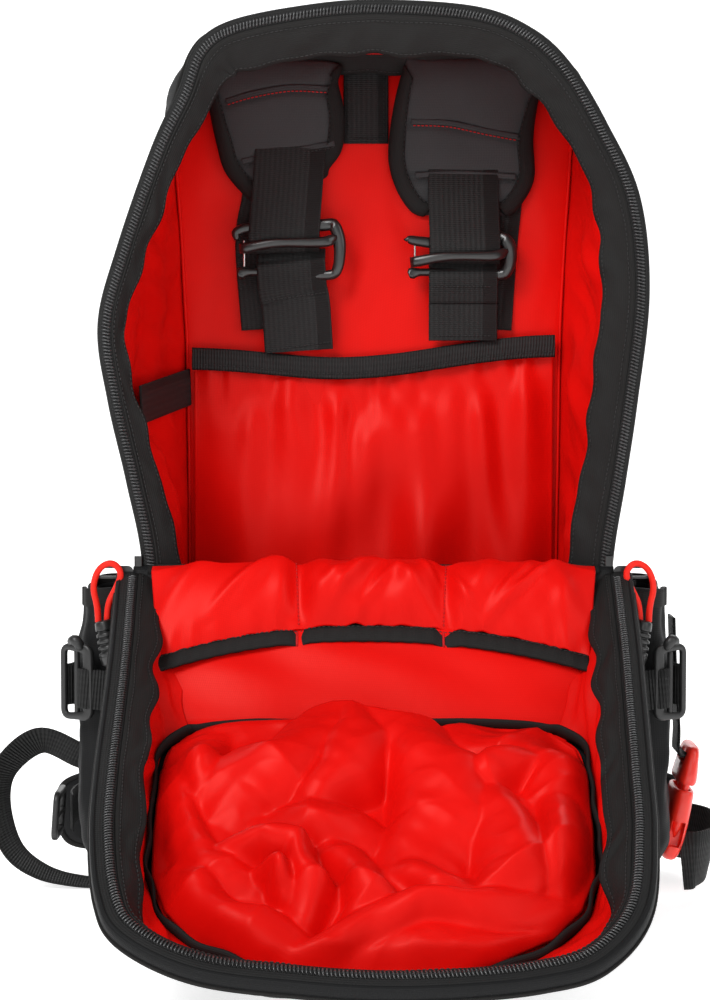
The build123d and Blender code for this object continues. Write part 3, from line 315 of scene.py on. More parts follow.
def waves(u, v, seed, count, low, high):
    # sum of seeded sine waves in two directions, bent by one slow wave, about -1 to 1
    rng = np.random.default_rng(seed)
    bendU = u + 0.35 / high * np.sin(tau * low * v + rng.uniform(0, tau))
    bendV = v + 0.35 / high * np.sin(tau * low * u + rng.uniform(0, tau))
    total = np.zeros(np.broadcast(u, v).shape)
    for _ in range(count):
        angle, rate, phase = rng.uniform(0, math.pi), rng.uniform(low, high), rng.uniform(0, tau)
        total = total + np.sin(tau * rate * (bendU * math.cos(angle) + bendV * math.sin(angle)) + phase)
    return total / math.sqrt(count)


def ease(value, start, end):
    # 0 before start, 1 after end, smooth between
    t = np.clip((value - start) / (end - start), 0, 1)
    return t * t * (3 - 2 * t)


def gridFaces(rows, cols, wrapRows, wrapCols):
    i = np.arange(rows if wrapRows else rows - 1)[:, None]
    j = np.arange(cols if wrapCols else cols - 1)[None, :]
    down, right = (i + 1) % rows, (j + 1) % cols
    return np.stack([i * cols + j, i * cols + right, down * cols + right, down * cols + j], -1).reshape(-1, 4)


def makeObject(name, verts, faces, uv=None):
    mesh = bpy.data.meshes.new(name)
    mesh.from_pydata((np.asarray(verts) * mm).tolist(), [], faces)
    if uv is not None:
        layer = mesh.uv_layers.new(name="cloth")
        index = np.zeros(len(mesh.loops), np.int32)
        mesh.loops.foreach_get("vertex_index", index)
        layer.data.foreach_set("uv", (uv[index] * mm).astype(np.float32).ravel())
    mesh.polygons.foreach_set("use_smooth", np.ones(len(mesh.polygons), bool))
    obj = bpy.data.objects.new(name, mesh)
    bpy.context.scene.collection.objects.link(obj)
    return obj


def gridUv(grid):
    # arc length across and along a grid of points
    across = np.concatenate([np.zeros((grid.shape[0], 1)),
                             np.cumsum(np.linalg.norm(np.diff(grid, axis=1), axis=2), 1)], 1)
    down = np.concatenate([np.zeros((1, grid.shape[1])), np.cumsum(np.linalg.norm(np.diff(grid, axis=0), axis=2), 0)],
                          0)
    return np.stack([across, down], -1).reshape(-1, 2)


def sheetPiece(name, grid, toward, thickness=0.0):
    # open surface from a grid of points, turned to face a direction, with an optional thickness behind it
    faces = gridFaces(*grid.shape[:2], False, False)
    verts = grid.reshape(-1, 3)
    corners = verts[faces]
    normal = np.cross(corners[:, 2] - corners[:, 0], corners[:, 3] - corners[:, 1])
    if callable(toward):
        score = (normal * toward(corners.mean(1))).sum()
    else:
        score = (normal @ np.array(toward, float)).sum()
    if score < 0:
        faces = faces[:, ::-1]
    obj = makeObject(name, verts, faces.tolist(), gridUv(grid))
    if thickness:
        solid = obj.modifiers.new("thickness", "SOLIDIFY")
        solid.thickness = thickness * mm
        solid.offset = -1
    return obj


def closedPiece(name, rings, wrap=False, cap=True):
    # closed skin from a row of rings of points: quads between rings, one face at each end
    rows, cols = rings.shape[:2]
    faces = gridFaces(rows, cols, wrap, True)
    verts = rings.reshape(-1, 3)
    centre = verts.mean(0)
    a, b, c, d = (verts[faces[:, k]] - centre for k in range(4))
    volume = (a * np.cross(b, c)).sum() + (a * np.cross(c, d)).sum()
    ends = [] if wrap or not cap else [list(range(cols))[::-1], list(range((rows - 1) * cols, rows * cols))]
    faceList = faces.tolist() + ends
    if volume < 0:
        faceList = [face[::-1] for face in faceList]
    around = np.concatenate([rings, rings[:, :1]], 1)
    step = np.linalg.norm(np.diff(around, axis=1), axis=2)
    across = np.concatenate([np.zeros((rows, 1)), np.cumsum(step, 1)[:, :-1]], 1)
    down = np.repeat(lengths(rings.mean(1))[:, None], cols, 1)
    return makeObject(name, verts, faceList, np.stack([across, down], -1).reshape(-1, 2))


def carried(line, side, profile):
    # profile points (sideways, outward) carried along a line whose sideways directions are given
    forward = tangents(line)
    across = unit(side - (side * forward).sum(1, keepdims=True) * forward)
    outward = np.cross(across, forward)
    p = np.asarray(profile, float)
    return line[:, None] + across[:, None] * p[None, :, :1] + outward[:, None] * p[None, :, 1:2]


def tapeProfile(width, thickness, edge=3):
    # rounded flat section: two half circles joined by a flat top and bottom
    turn = np.linspace(-math.pi / 2, math.pi / 2, edge + 2)
    half = thickness / 2
    right = np.stack([width / 2 - half + half * np.cos(turn), half * np.sin(turn)], 1)
    middle = np.linspace(width / 2 - half, -width / 2 + half, 6)[1:-1]
    top = np.stack([middle, np.full(4, half)], 1)
    return np.concatenate([right, top, -right, -top])


def ribbon(name, line, side, width, thickness):
    # strap: a rounded flat section carried along a line
    side = np.broadcast_to(np.array(side, float), line.shape)
    return closedPiece(name, carried(line, side, tapeProfile(width, thickness)))


def roundTube(name, line, radius, sides=10, wrap=False):
    # tube: circles of a given radius, one or one per point, square to the line
    forward = tangents(line)
    if wrap:
        forward = unit(np.roll(line, -1, 0) - np.roll(line, 1, 0))
    seed = np.array([0.123, 0.35, 0.93])
    across = unit(np.cross(forward, seed))
    other = np.cross(forward, across)
    turn = np.linspace(0, tau, sides, endpoint=False)
    size = np.broadcast_to(np.asarray(radius, float), (len(line),))[:, None, None]
    rings = (line[:, None]
             + size * (across[:, None] * np.cos(turn)[None, :, None] + other[:, None] * np.sin(turn)[None, :, None]))
    return closedPiece(name, rings, wrap)


def stitches(name, line, normal, pitch=3.0, length=2.0, radius=0.35):
    # row of thread dashes: each is a small six-sided capsule lying on the surface
    line = evenly(line, max(4, int(lengths(line)[-1] / 0.6)))
    total = lengths(line)[-1]
    starts = np.arange(pitch / 2, total - length, pitch)
    at = lengths(line)
    sides, stations = 5, np.array([0, 0.15, 0.85, 1.0])
    sizes = np.array([0.25, 1, 1, 0.25])
    normal = np.broadcast_to(np.array(normal, float), line.shape)
    forward = tangents(line)
    turn = np.linspace(0, tau, sides, endpoint=False)
    place = starts[:, None] + stations[None] * length
    pick = lambda source: (np.stack([np.interp(place.ravel(), at, source[:, k]) for k in range(3)],
                                    1).reshape(*place.shape, 3))
    spot, out, ahead = pick(line), unit(pick(normal)), unit(pick(forward))
    across = unit(np.cross(ahead, out))
    ring = (np.cos(turn)[None, None, :, None] * across[:, :, None] + np.sin(turn)[None, None, :, None]
            * out[:, :, None])
    points = spot[:, :, None] + ring * (radius * sizes)[None, :, None, None]
    dashes = len(starts)
    block = gridFaces(4, sides, False, True)
    caps = np.array([list(range(sides))[::-1], list(range(3 * sides, 4 * sides))])
    shift = (np.arange(dashes) * 4 * sides)[:, None, None]
    faces = (block[None] + shift).reshape(-1, 4).tolist() + (caps[None] + shift).reshape(-1, sides).tolist()
    verts = points.reshape(-1, 3)
    obj = makeObject(name, verts, faces, verts[:, :2])
    fixNormals(obj)
    return obj


def fixNormals(obj):
    work = bmesh.new()
    work.from_mesh(obj.data)
    bmesh.ops.recalc_face_normals(work, faces=work.faces)
    work.to_mesh(obj.data)
    work.free()


# finish, body and slot of the pieces that there are most of
packCloth, flapCloth = (("nylon", body, "shell_nylon") for body in ("pack", "flap"))
packSatin, flapSatin = (("satin", body, "lining_red") for body in ("pack", "flap"))
packThread, flapThread = (("thread", body, "webbing_black") for body in ("pack", "flap"))
packBinding, flapBinding = (("binding", body, "webbing_black") for body in ("pack", "flap"))
packEdge, packWebbing, packRibbed = (("binding", "pack", "shell_nylon"), ("webbing", "pack", "webbing_black"),
                                     ("ribbed", "pack", "webbing_black"))


def dress(obj, finish, body, slot, *nodes):
    # material, body and the CAD nodes that a piece stands for; the slot argument is not used
    obj.data.materials.append(finishes[finish])
    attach(obj, body)
    if nodes:
        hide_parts(*nodes)
    return obj


# outlines, in millimetres
packShape = {
    # mouth of the pack (x, z), from the left foot over the top to the right foot
    "mouth": [(-141, 150), (-140, 222), (-150, 276), (-161, 325), (-167, 372), (-155, 419), (-133, 481), (-117, 515),
              (-107, 541), (-88, 555),
              (-46, 564), (0, 568), (62, 564), (96, 551), (119, 530), (141, 494), (161, 450), (167, 392), (160, 325),
              (153, 276), (145, 222), (143, 150)],
    # the same points where the walls meet the rear lining
    "rear": [(-126, 150), (-126, 222), (-126, 285), (-127, 355), (-129, 400), (-131, 440), (-134, 480), (-135, 508),
             (-128, 534), (-108, 547),
             (-50, 552), (0, 554), (60, 553), (104, 549), (127, 534), (134, 508), (133, 478), (130, 430), (127, 366),
             (126, 290), (125, 222), (125, 150)],
    # width of the black facing at each of those points
    "facing": [22, 22, 17, 15, 14, 15, 17, 20, 25, 28, 30, 29, 29, 27, 25, 24, 25, 27, 26, 25, 24, 24],
}
flapShape = {
    "tilt": 31.89,
    # rim of the opened flap (x, distance from the fold), left side, far end, right side
    "rim": [(-151, 4), (-148.5, 76), (-147.5, 134), (-147, 187), (-144.6, 237), (-137, 284), (-124, 310), (-88, 332),
            (-37, 341), (5, 344.5),
            (45, 343), (84, 337.5), (113, 326), (136, 292), (144.6, 237), (147, 187), (149, 134), (151, 76),
            (152, 4)],
    # edge of the flap floor below each of those points
    "floor": [(-110, 108), (-124, 124), (-127, 160), (-127, 200), (-125, 234), (-116, 262), (-100, 282), (-70, 301),
              (-34, 315), (0, 319),
              (36, 316), (70, 302), (100, 283), (116, 263), (125, 234), (127, 200), (127, 160), (124, 124),
              (110, 108)],
    # edge of the outer shell where it rests on the floor
    "sole": [(-112, 92), (-132, 118), (-137, 160), (-136, 200), (-132, 234), (-121, 260), (-104, 280), (-73, 299),
             (-36, 315), (0, 324),
             (36, 317), (73, 301), (104, 281), (121, 260), (132, 234), (136, 200), (137, 160), (132, 118), (112, 92)],
}


def leftOnly(side, node):
    # a CAD node that stands for both sides is replaced by the left piece
    return (node,) if side == "left" else ()


def upright(flat):
    # (x, z) as (x, 0, z)
    return np.insert(flat, 1, 0, axis=1)


def squircle(count, first, second):
    # circle pulled towards a square: sign(c) * |c|^first and sign(s) * |s|^second
    turn = np.linspace(0, tau, count, endpoint=False)
    c, s = np.cos(turn), np.sin(turn)
    return np.sign(c) * np.abs(c) ** first, np.sign(s) * np.abs(s) ** second


def spans(points, perSpan):
    # Catmull-Rom curve with the same number of steps in every span, so that matched outlines stay matched
    p = np.array(points, float)
    p = np.concatenate([[2 * p[0] - p[1]], p, [2 * p[-1] - p[-2]]])
    t = np.linspace(0, 1, perSpan, endpoint=False)[None, :, None]
    a, b, c, d = (p[i : len(p) - 3 + i, None] for i in range(4))
    line = 0.5 * (2 * b + (c - a) * t + (2 * a - 5 * b + 4 * c - d) * t**2 + (3 * b - a - 3 * c + d) * t**3)
    return np.concatenate([line.reshape(-1, p.shape[1]), p[-2:-1]])


def spread(values, perSpan):
    v = np.array(values, float)
    return np.interp(np.arange((len(v) - 1) * perSpan + 1) / perSpan, np.arange(len(v)), v)


def inward(flat):
    # unit normals of a plane curve that runs clockwise, pointing inside it
    forward = unit(np.gradient(flat, axis=0))
    return np.stack([forward[:, 1], -forward[:, 0]], 1)


perSpan = 28
mouth = spans(packShape["mouth"], perSpan)
rearEdge = spans(packShape["rear"], perSpan)
mouthIn = inward(mouth)
mouth = mouth - mouthIn * 3.8
rearIn = inward(rearEdge)
facingWidth = spread(packShape["facing"], perSpan)
along = lengths(mouth)


def mouthSpot(inset, depth, pick=slice(None)):
    # points beside the mouth: inset towards the inside, depth along Y
    inset = np.broadcast_to(np.asarray(inset, float), along[pick].shape)
    flat = mouth[pick] + mouthIn[pick] * inset[:, None]
    depth = np.broadcast_to(np.asarray(depth, float), along[pick].shape)
    return np.stack([flat[:, 0], depth, flat[:, 1]], -1)


def rearSpot(inset, depth):
    flat = rearEdge + rearIn * inset
    return np.stack([flat[:, 0], np.full(len(flat), float(depth)), flat[:, 1]], -1)


tilt = math.radians(flapShape["tilt"])
flapAlong = np.array([0, -math.cos(tilt), -math.sin(tilt)])
flapDown = np.array([0, math.sin(tilt), -math.cos(tilt)])


def flapSpot(x, s, d):
    # point of the opened flap: across, distance from the fold, depth below its rim
    x, s, d = np.broadcast_arrays(*(np.asarray(value, float) for value in (x, s, d)))
    return (np.array([0, -45, 222]) + x[..., None] * np.array([1, 0, 0]) + s[..., None] * flapAlong + d[..., None]
            * flapDown)


flapRim = spans(flapShape["rim"], perSpan)
flapFloor = spans(flapShape["floor"], perSpan)
flapSole = spans(flapShape["sole"], perSpan)
flapIn = inward(flapRim)
flapRim = flapRim - flapIn * 6.5
flapLength = lengths(flapRim)


def flapRimSpot(inset, depth, pick=slice(None)):
    inset = np.broadcast_to(np.asarray(inset, float), flapLength[pick].shape)
    flat = flapRim[pick] + flapIn[pick] * inset[:, None]
    return flapSpot(flat[:, 0], flat[:, 1], depth)


zipper = {"width": 4.6, "height": 1.5, "pitch": 2.1, "wire": 0.52}


def coilChain(name, line, side, outward):
    # helix flattened to width by height, wound along a line; a tube follows it
    total = lengths(line)[-1]
    turns = int(total / zipper["pitch"])
    dense = evenly(line, turns * 8 + 1)
    at = np.linspace(0, total, len(dense))
    base = lengths(line)
    get = lambda source: np.stack([np.interp(at, base, source[:, k]) for k in range(3)], 1)
    across, out = unit(get(side)), unit(get(outward))
    phase = np.linspace(0, tau * turns, len(dense))
    wide = np.cos(phase)[:, None] * across * zipper["width"] / 2
    high = np.sin(phase)[:, None] * out * zipper["height"] / 2
    wave = dense + wide + high
    return roundTube(name, wave, zipper["wire"], 4)


def bandAlong(name, rows, toward, thickness):
    # strip of cloth between two or more lines of equal length
    return sheetPiece(name, np.stack(rows, 1), toward, thickness)


def ruffle(count, seed, size, rates=(0.012, 0.05)):
    # slow random sag along an edge: a few seeded sines of the distance
    rng = np.random.default_rng(seed)
    at = np.arange(count) if np.isscalar(count) else count
    total = np.zeros(len(at))
    for _ in range(5):
        total = total + np.sin(at * tau * rng.uniform(*rates) + rng.uniform(0, tau))
    return total * size / 2.2


rimShape = {
    # zipper tape as (inset, depth) from the shell's edge over the front, chain and facing
    "mouthTape": [(-0.8, -38.8), (-1.2, -41.2), (0, -42.6), (2, -42.9), (5, -42.6), (9.5, -41.7)],
    "mouthChain": (4.4, -43.1),
    "flapTape": [(-1.2, 2.3), (1.5, 1.8), (6, 2.0), (12, 3.3)], "flapChain": (7, 1.6),
    "tapeThickness": 0.8, "facingThickness": 1.1, "shellThickness": 2.4, "liningThickness": 0.8, "facingDepth": -42.3,
}


def makeMouth():
    frontFace = (0, -1, 0)
    top = ease(mouth[:, 1], 470, 545)
    # side walls: outer cloth from the mouth back to the wearer's side
    w = np.linspace(0, 1, 26)[None, :, None]
    wallFront, wallRear = mouthSpot(0.5, -41), rearSpot(-6, 101)
    skin = wallFront[:, None] * (1 - w) + wallRear[:, None] * w
    swell = (np.sin(math.pi * w[..., 0]) * (2.5 + 2.4 * waves(along[:, None] / 300, w[..., 0], 3, 8, 0.8, 4))
             + 0.7 * waves(along[:, None] / 60, w[..., 0] * 2, 4, 6, 1, 4) * np.sin(math.pi * w[..., 0]))
    out = upright(-mouthIn)
    skin = skin + out[:, None] * swell[..., None]
    outwards = lambda c: c - np.array([0, 30, 330])
    dress(sheetPiece("sideWalls", skin, outwards, rimShape["shellThickness"]), *packCloth, "main_gusset")
    for place, name in ((0.12, "wallSeamFront"), (0.93, "wallSeamRear")):
        k = int(place * 25)
        dress(roundTube(name, skin[:, k] + out * 0.5, 1.3, 8), *packEdge)
    # tape and rolled edge outside the chain
    rows = [mouthSpot(*spot) for spot in rimShape["mouthTape"]]
    dress(bandAlong("mouthTape", rows, frontFace, rimShape["tapeThickness"]), "tape", "pack", "webbing_black",
          "body_zipper_tape")
    line = mouthSpot(*rimShape["mouthChain"])
    side = upright(mouthIn)
    pick = mouth[:, 1] > 205
    dress(coilChain("mouthChain", line[pick], side[pick], np.tile([0.0, -1, 0], (pick.sum(), 1))), "coil", "pack",
          "chain_black", "body_zipper_chain")
    dress(roundTube("mouthChainCore", line[pick] + [0, 0.4, 0], 0.7, 6), "tape", "pack", "chain_black")
    # facing: puckered band from the chain to its free edge
    sag = ruffle(along, 11, 1.6, (0.006, 0.03))
    pucker = waves(along[:, None] / 30, np.linspace(0, 1, 12)[None], 5, 7, 0.5, 1.6)
    share = np.linspace(0, 1, 12)[None]
    inset = 8 + (facingWidth[:, None] - 6 + sag[:, None]) * share
    depth = rimShape["facingDepth"] + 2.4 * share**0.7 + (5 + 3 * top[:, None]) * share**1.5 + pucker * share * 0.9
    grid = np.stack([mouth[:, None, 0] + mouthIn[:, None, 0] * inset, depth, mouth[:, None, 1] + mouthIn[:, None, 1]
                     * inset], -1)
    dress(sheetPiece("mouthFacing", grid, frontFace, rimShape["facingThickness"]), *packBinding, "rim_facing")
    for k, name in ((2, "facingStitchOuter"), (10, "facingStitchInner")):
        dress(stitches(name, grid[:, k] + [0, -0.5, 0], (0, -1, 0)), *packThread)
    # inner lining: from under the facing back to the rear corner
    w = np.linspace(0, 1, 40)
    start = mouthSpot(facingWidth * 0.7, -32)
    end = rearSpot(0, 84)
    wall = start[:, None] * (1 - w[None, :, None]) + end[:, None] * w[None, :, None]
    loose = np.sin(math.pi * w)[None] ** 0.7
    fold = (waves(along[:, None] / 210, w[None] * 0.8, 21, 9, 0.7, 3.2) * 4.2
            + waves(along[:, None] / 60, w[None] * 1.6, 22, 7, 0.7, 3) * 1.3)
    inwards = upright(mouthIn)
    wall = wall + inwards[:, None] * ((fold - 2.0) * loose * (1 - 0.85 * top[:, None]))[..., None]
    dress(sheetPiece("sideLining", wall, lambda c: np.array([0, 20, 380]) - c, rimShape["liningThickness"]),
          *packSatin, "main_lining")
    cornerLine = rearSpot(1.2, 83)
    dress(roundTube("cornerSeam", cornerLine, 1.1, 8), *packSatin)
    rim = [rearSpot(-6.5, 100), rearSpot(-3.5, 102), rearSpot(2, 102), rearSpot(8, 100.4), rearSpot(13, 96)]
    dress(bandAlong("wearerRim", rim, (0, 1, 0), 1.5), *packEdge)
    print("mouth made")


def rearWidth(z):
    # left and right edge of the rear lining at a height
    count = len(rearEdge) // 2
    left, right = rearEdge[: count + 1], rearEdge[count:]
    order = np.argsort(left[:, 1])
    orderRight = np.argsort(right[:, 1])
    return np.interp(z, left[order, 1], left[order, 0]), np.interp(z, right[orderRight, 1], right[orderRight, 0])


rearPocket = {"top": 358, "bottom": 16, "binding": 15}


def pocketTop(x):
    # height of the pocket mouth: it sags left of the middle and rises to the right
    return 360 - 7 * np.exp(-(((x + 25) / 60) ** 2)) + 8 * ease(x, 10, 125)


def makeRear():
    z = 555 - 405 * (np.linspace(0, 1, 120) ** 1.15)
    z[0] = 553.6
    share = np.linspace(0, 1, 90)
    left, right = rearWidth(np.minimum(z, 552))
    x = left[:, None] * (1 - share) + right[:, None] * share
    z2 = np.broadcast_to(z[:, None], x.shape)
    loose = np.sin(math.pi * share)[None] ** 0.5 * ease(555 - z2, 0, 30)
    sway = ((waves(x / 120, z2 / 190, 31, 9, 0.6, 2.6) * 2.6 + waves(x / 40, z2 / 70, 32, 6, 0.6, 2) * 0.6)
            * (0.3 + 0.7 * ease(505 - z2, 0, 60)))
    grid = np.stack([x, 83.4 - np.maximum(sway + 2.6, 0.05 * sway) * loose, z2], -1)
    dress(sheetPiece("rearLining", grid, (0, -1, 0), 0.8), *packSatin, "back_lining")
    # gathered pocket
    u = np.linspace(-121, 121, 260)[None]
    v = np.linspace(0, 1, 170)[:, None]
    topLine = pocketTop(u) - rearPocket["binding"] + 2
    height = topLine * (1 - v) + rearPocket["bottom"] * v
    drop = topLine - height
    pleats = (np.sin(u / 3.1 + 1.2 * np.sin(u / 17) + 0.5 * np.sin(u / 5.3)) * np.exp(-drop / 16)
              * (1.3 + 0.5 * np.sin(u / 11)))
    rng = np.random.default_rng(41)
    folds = np.zeros(np.broadcast(u, v).shape)
    for centre in (-104, -83, -61, -44, -26, -9, 11, 33, 52, 74, 96, 112):
        lean, wide = rng.uniform(-0.12, 0.12), rng.uniform(6, 11)
        size = rng.uniform(3.0, 7.5)
        start, finish = rng.uniform(4, 30), rng.uniform(90, 230)
        path = centre + lean * drop + 5 * np.sin(drop / rng.uniform(45, 90) + rng.uniform(0, 6))
        folds = (folds + size * np.exp(-(((u - path) / (wide * (1 + drop / 160))) ** 2))
                 * ease(drop, start - 10, start + 20) * (1 - 0.6 * ease(drop, finish, finish + 90)))
    broad = waves(u / 120, drop / 160, 43, 7, 0.5, 1.8) * 3.0 * ease(drop, 10, 90)
    belly = 9.5 * ease(drop, 0, 120) * (1 - (u / 125) ** 4)
    hold = (1 - np.abs(u / 121) ** 8)
    grid = np.stack([u + 0 * drop, 78.5 - (folds + broad * 0.7 + belly) * hold - pleats, height + 0 * u], -1)
    pocket = sheetPiece("gatheredPocket", grid, (0, -1, 0), 0.8)
    dress(pocket, *packSatin, "back_pocket")
    # elastic binding over the pocket mouth
    x = np.linspace(-122, 122, 160)
    top = pocketTop(x)
    roll = np.linspace(0, 1, 9)[None]
    z2 = top[:, None] - rearPocket["binding"] * roll
    y = 74.2 - 1.8 * np.sin(math.pi * roll) + 0.25 * np.sin(x[:, None] / 1.6) * roll - 1.5 * ease(roll, 0.6, 1)
    grid = np.stack([np.broadcast_to(x[:, None], z2.shape), y, z2], -1)
    dress(sheetPiece("pocketBinding", grid, (0, -1, 0), 1.6), *packRibbed, "back_pocket_binding")
    dress(stitches("pocketBindingStitch", grid[:, 6] + [0, -0.45, 0], (0, -1, 0), 3.2, 2.0), *packThread)
    # black band across the top of the rear wall, where the straps come out
    x = np.linspace(-128, 128, 160)
    share = np.linspace(0, 1, 9)[None]
    edgeTop = 557 - 26 * np.abs(x / 128) ** 6
    low = 541 - 26 * np.abs(x / 128) ** 5 + ruffle(x, 51, 1.0, (0.01, 0.04))
    z2 = edgeTop[:, None] * (1 - share) + low[:, None] * share
    y = 62 + 9 * share + ruffle(x, 52, 1.2, (0.01, 0.04))[:, None] * share
    grid = np.stack([np.broadcast_to(x[:, None], z2.shape), y, z2], -1)
    dress(sheetPiece("strapBand", grid, (0, -1, 0), 1.2), *packBinding)
    dress(stitches("strapBandStitch", grid[:, 7] + [0, -0.7, 0], (0, -1, 0)), *packThread)
    # webbing across the left wall
    y = np.linspace(-20, 82, 60)
    wallX = lambda y, z: (np.interp(z, [222, 276, 325, 372], [-136, -144, -155, -160]) * (1 - (y + 41) / 125)
                          + -127 * (y + 41) / 125)
    centre = np.stack([wallX(y, 327 + 0 * y) + 3.2, y, 322 + 11 * (y + 20) / 102], 1)
    dress(ribbon("wallBand", centre, (0, 0.02, 1), 25, 1.6), *packRibbed, "wall_band")
    # folded hanging tab
    z = np.linspace(548, 496, 40)
    centre = np.stack([-5 + 0 * z, 79 - 1.5 * np.sin((548 - z) / 52 * math.pi), z], 1)
    dress(ribbon("hangerTab", centre, (1, 0, 0), 30, 3), *packWebbing, "hanger_tab")
    loop = np.array([(-17, 0, 542), (-17, 0, 499), (7, 0, 499), (7, 0, 542)], float)
    loop[:, 1] = 76.2
    for a, b, k in ((0, 1, 1), (1, 2, 2), (2, 3, 3)):
        dress(stitches(f"tabStitch{k}", np.stack([loop[a], loop[b]]), (0, -1, 0)), *packThread)
    print("rear wall made")


def ridge(u, v, path, height, width):
    # round-backed fold along a broken line: height * (1 - (d / width)^2)^0.6, lower towards both ends
    path = np.array(path, float)
    best = np.full(np.broadcast(u, v).shape, 1e9)
    place = np.zeros_like(best)
    total = lengths(path)
    for a, b, start, stop in zip(path[:-1], path[1:], total[:-1], total[1:]):
        step = b - a
        t = np.clip(((u - a[0]) * step[0] + (v - a[1]) * step[1]) / (step @ step), 0, 1)
        away = np.hypot(u - a[0] - t * step[0], v - a[1] - t * step[1])
        place = np.where(away < best, (start + t * (stop - start)) / total[-1], place)
        best = np.minimum(best, away)
    taper = 0.4 + 0.6 * np.sin(math.pi * np.clip(place * 0.85 + 0.1, 0, 1))
    crown = np.clip(1 - (best / (width * (0.75 + 0.25 * taper))) ** 2, 0, 1) ** 0.6
    return height * taper * crown


looseShape = {
    # folds of the loose lining (across, from the fold), height, width
    "folds": [
        ([(-17, 108), (-26, 135), (-52, 160), (-78, 178), (-88, 205)], 36, 30),
        ([(-17, 108), (-8, 140), (-18, 170), (-45, 196)], 38, 24),
        ([(-10, 110), (22, 140), (38, 170), (40, 205), (18, 240)], 37, 34),
        ([(60, 118), (85, 128), (106, 150), (108, 190)], 34, 26),
        ([(112, 140), (84, 156), (58, 178), (52, 200)], 33, 18),
        ([(56, 182), (72, 212), (78, 245), (70, 272)], 35, 28),
        ([(108, 185), (104, 225), (98, 262)], 34, 17),
        ([(-98, 122), (-100, 150), (-92, 176), (-100, 200)], 30, 15),
        ([(-108, 170), (-106, 208), (-92, 240), (-66, 250)], 28, 16),
        ([(-92, 236), (-64, 226), (-42, 232), (-34, 256), (-42, 280)], 35, 12),
        ([(-64, 246), (-50, 250), (-48, 268)], 36, 9),
        ([(-108, 232), (-94, 262), (-66, 284), (-36, 300)], 25, 15),
        ([(-20, 226), (-6, 246), (0, 268), (-16, 288)], 30, 17),
        ([(12, 236), (36, 252), (58, 258)], 28, 17),
        ([(-40, 306), (-8, 290), (24, 276), (66, 272), (100, 270)], 33, 16),
        ([(-20, 300), (20, 294), (60, 292), (84, 288)], 26, 18),
        ([(-60, 200), (-30, 206), (4, 212)], 27, 20),
    ],
    "flat": (0.29, 0.27),
}


flapPocket = {"seams": (-46, 44), "lift": 13, "sag": 19, "thickness": 0.8}


def pocketSag(x):
    # the pocket mouth drops away from the fold towards its ends: sag * (|x| / 130)^2.2
    return flapPocket["sag"] * (np.abs(x) / 130) ** 2.2


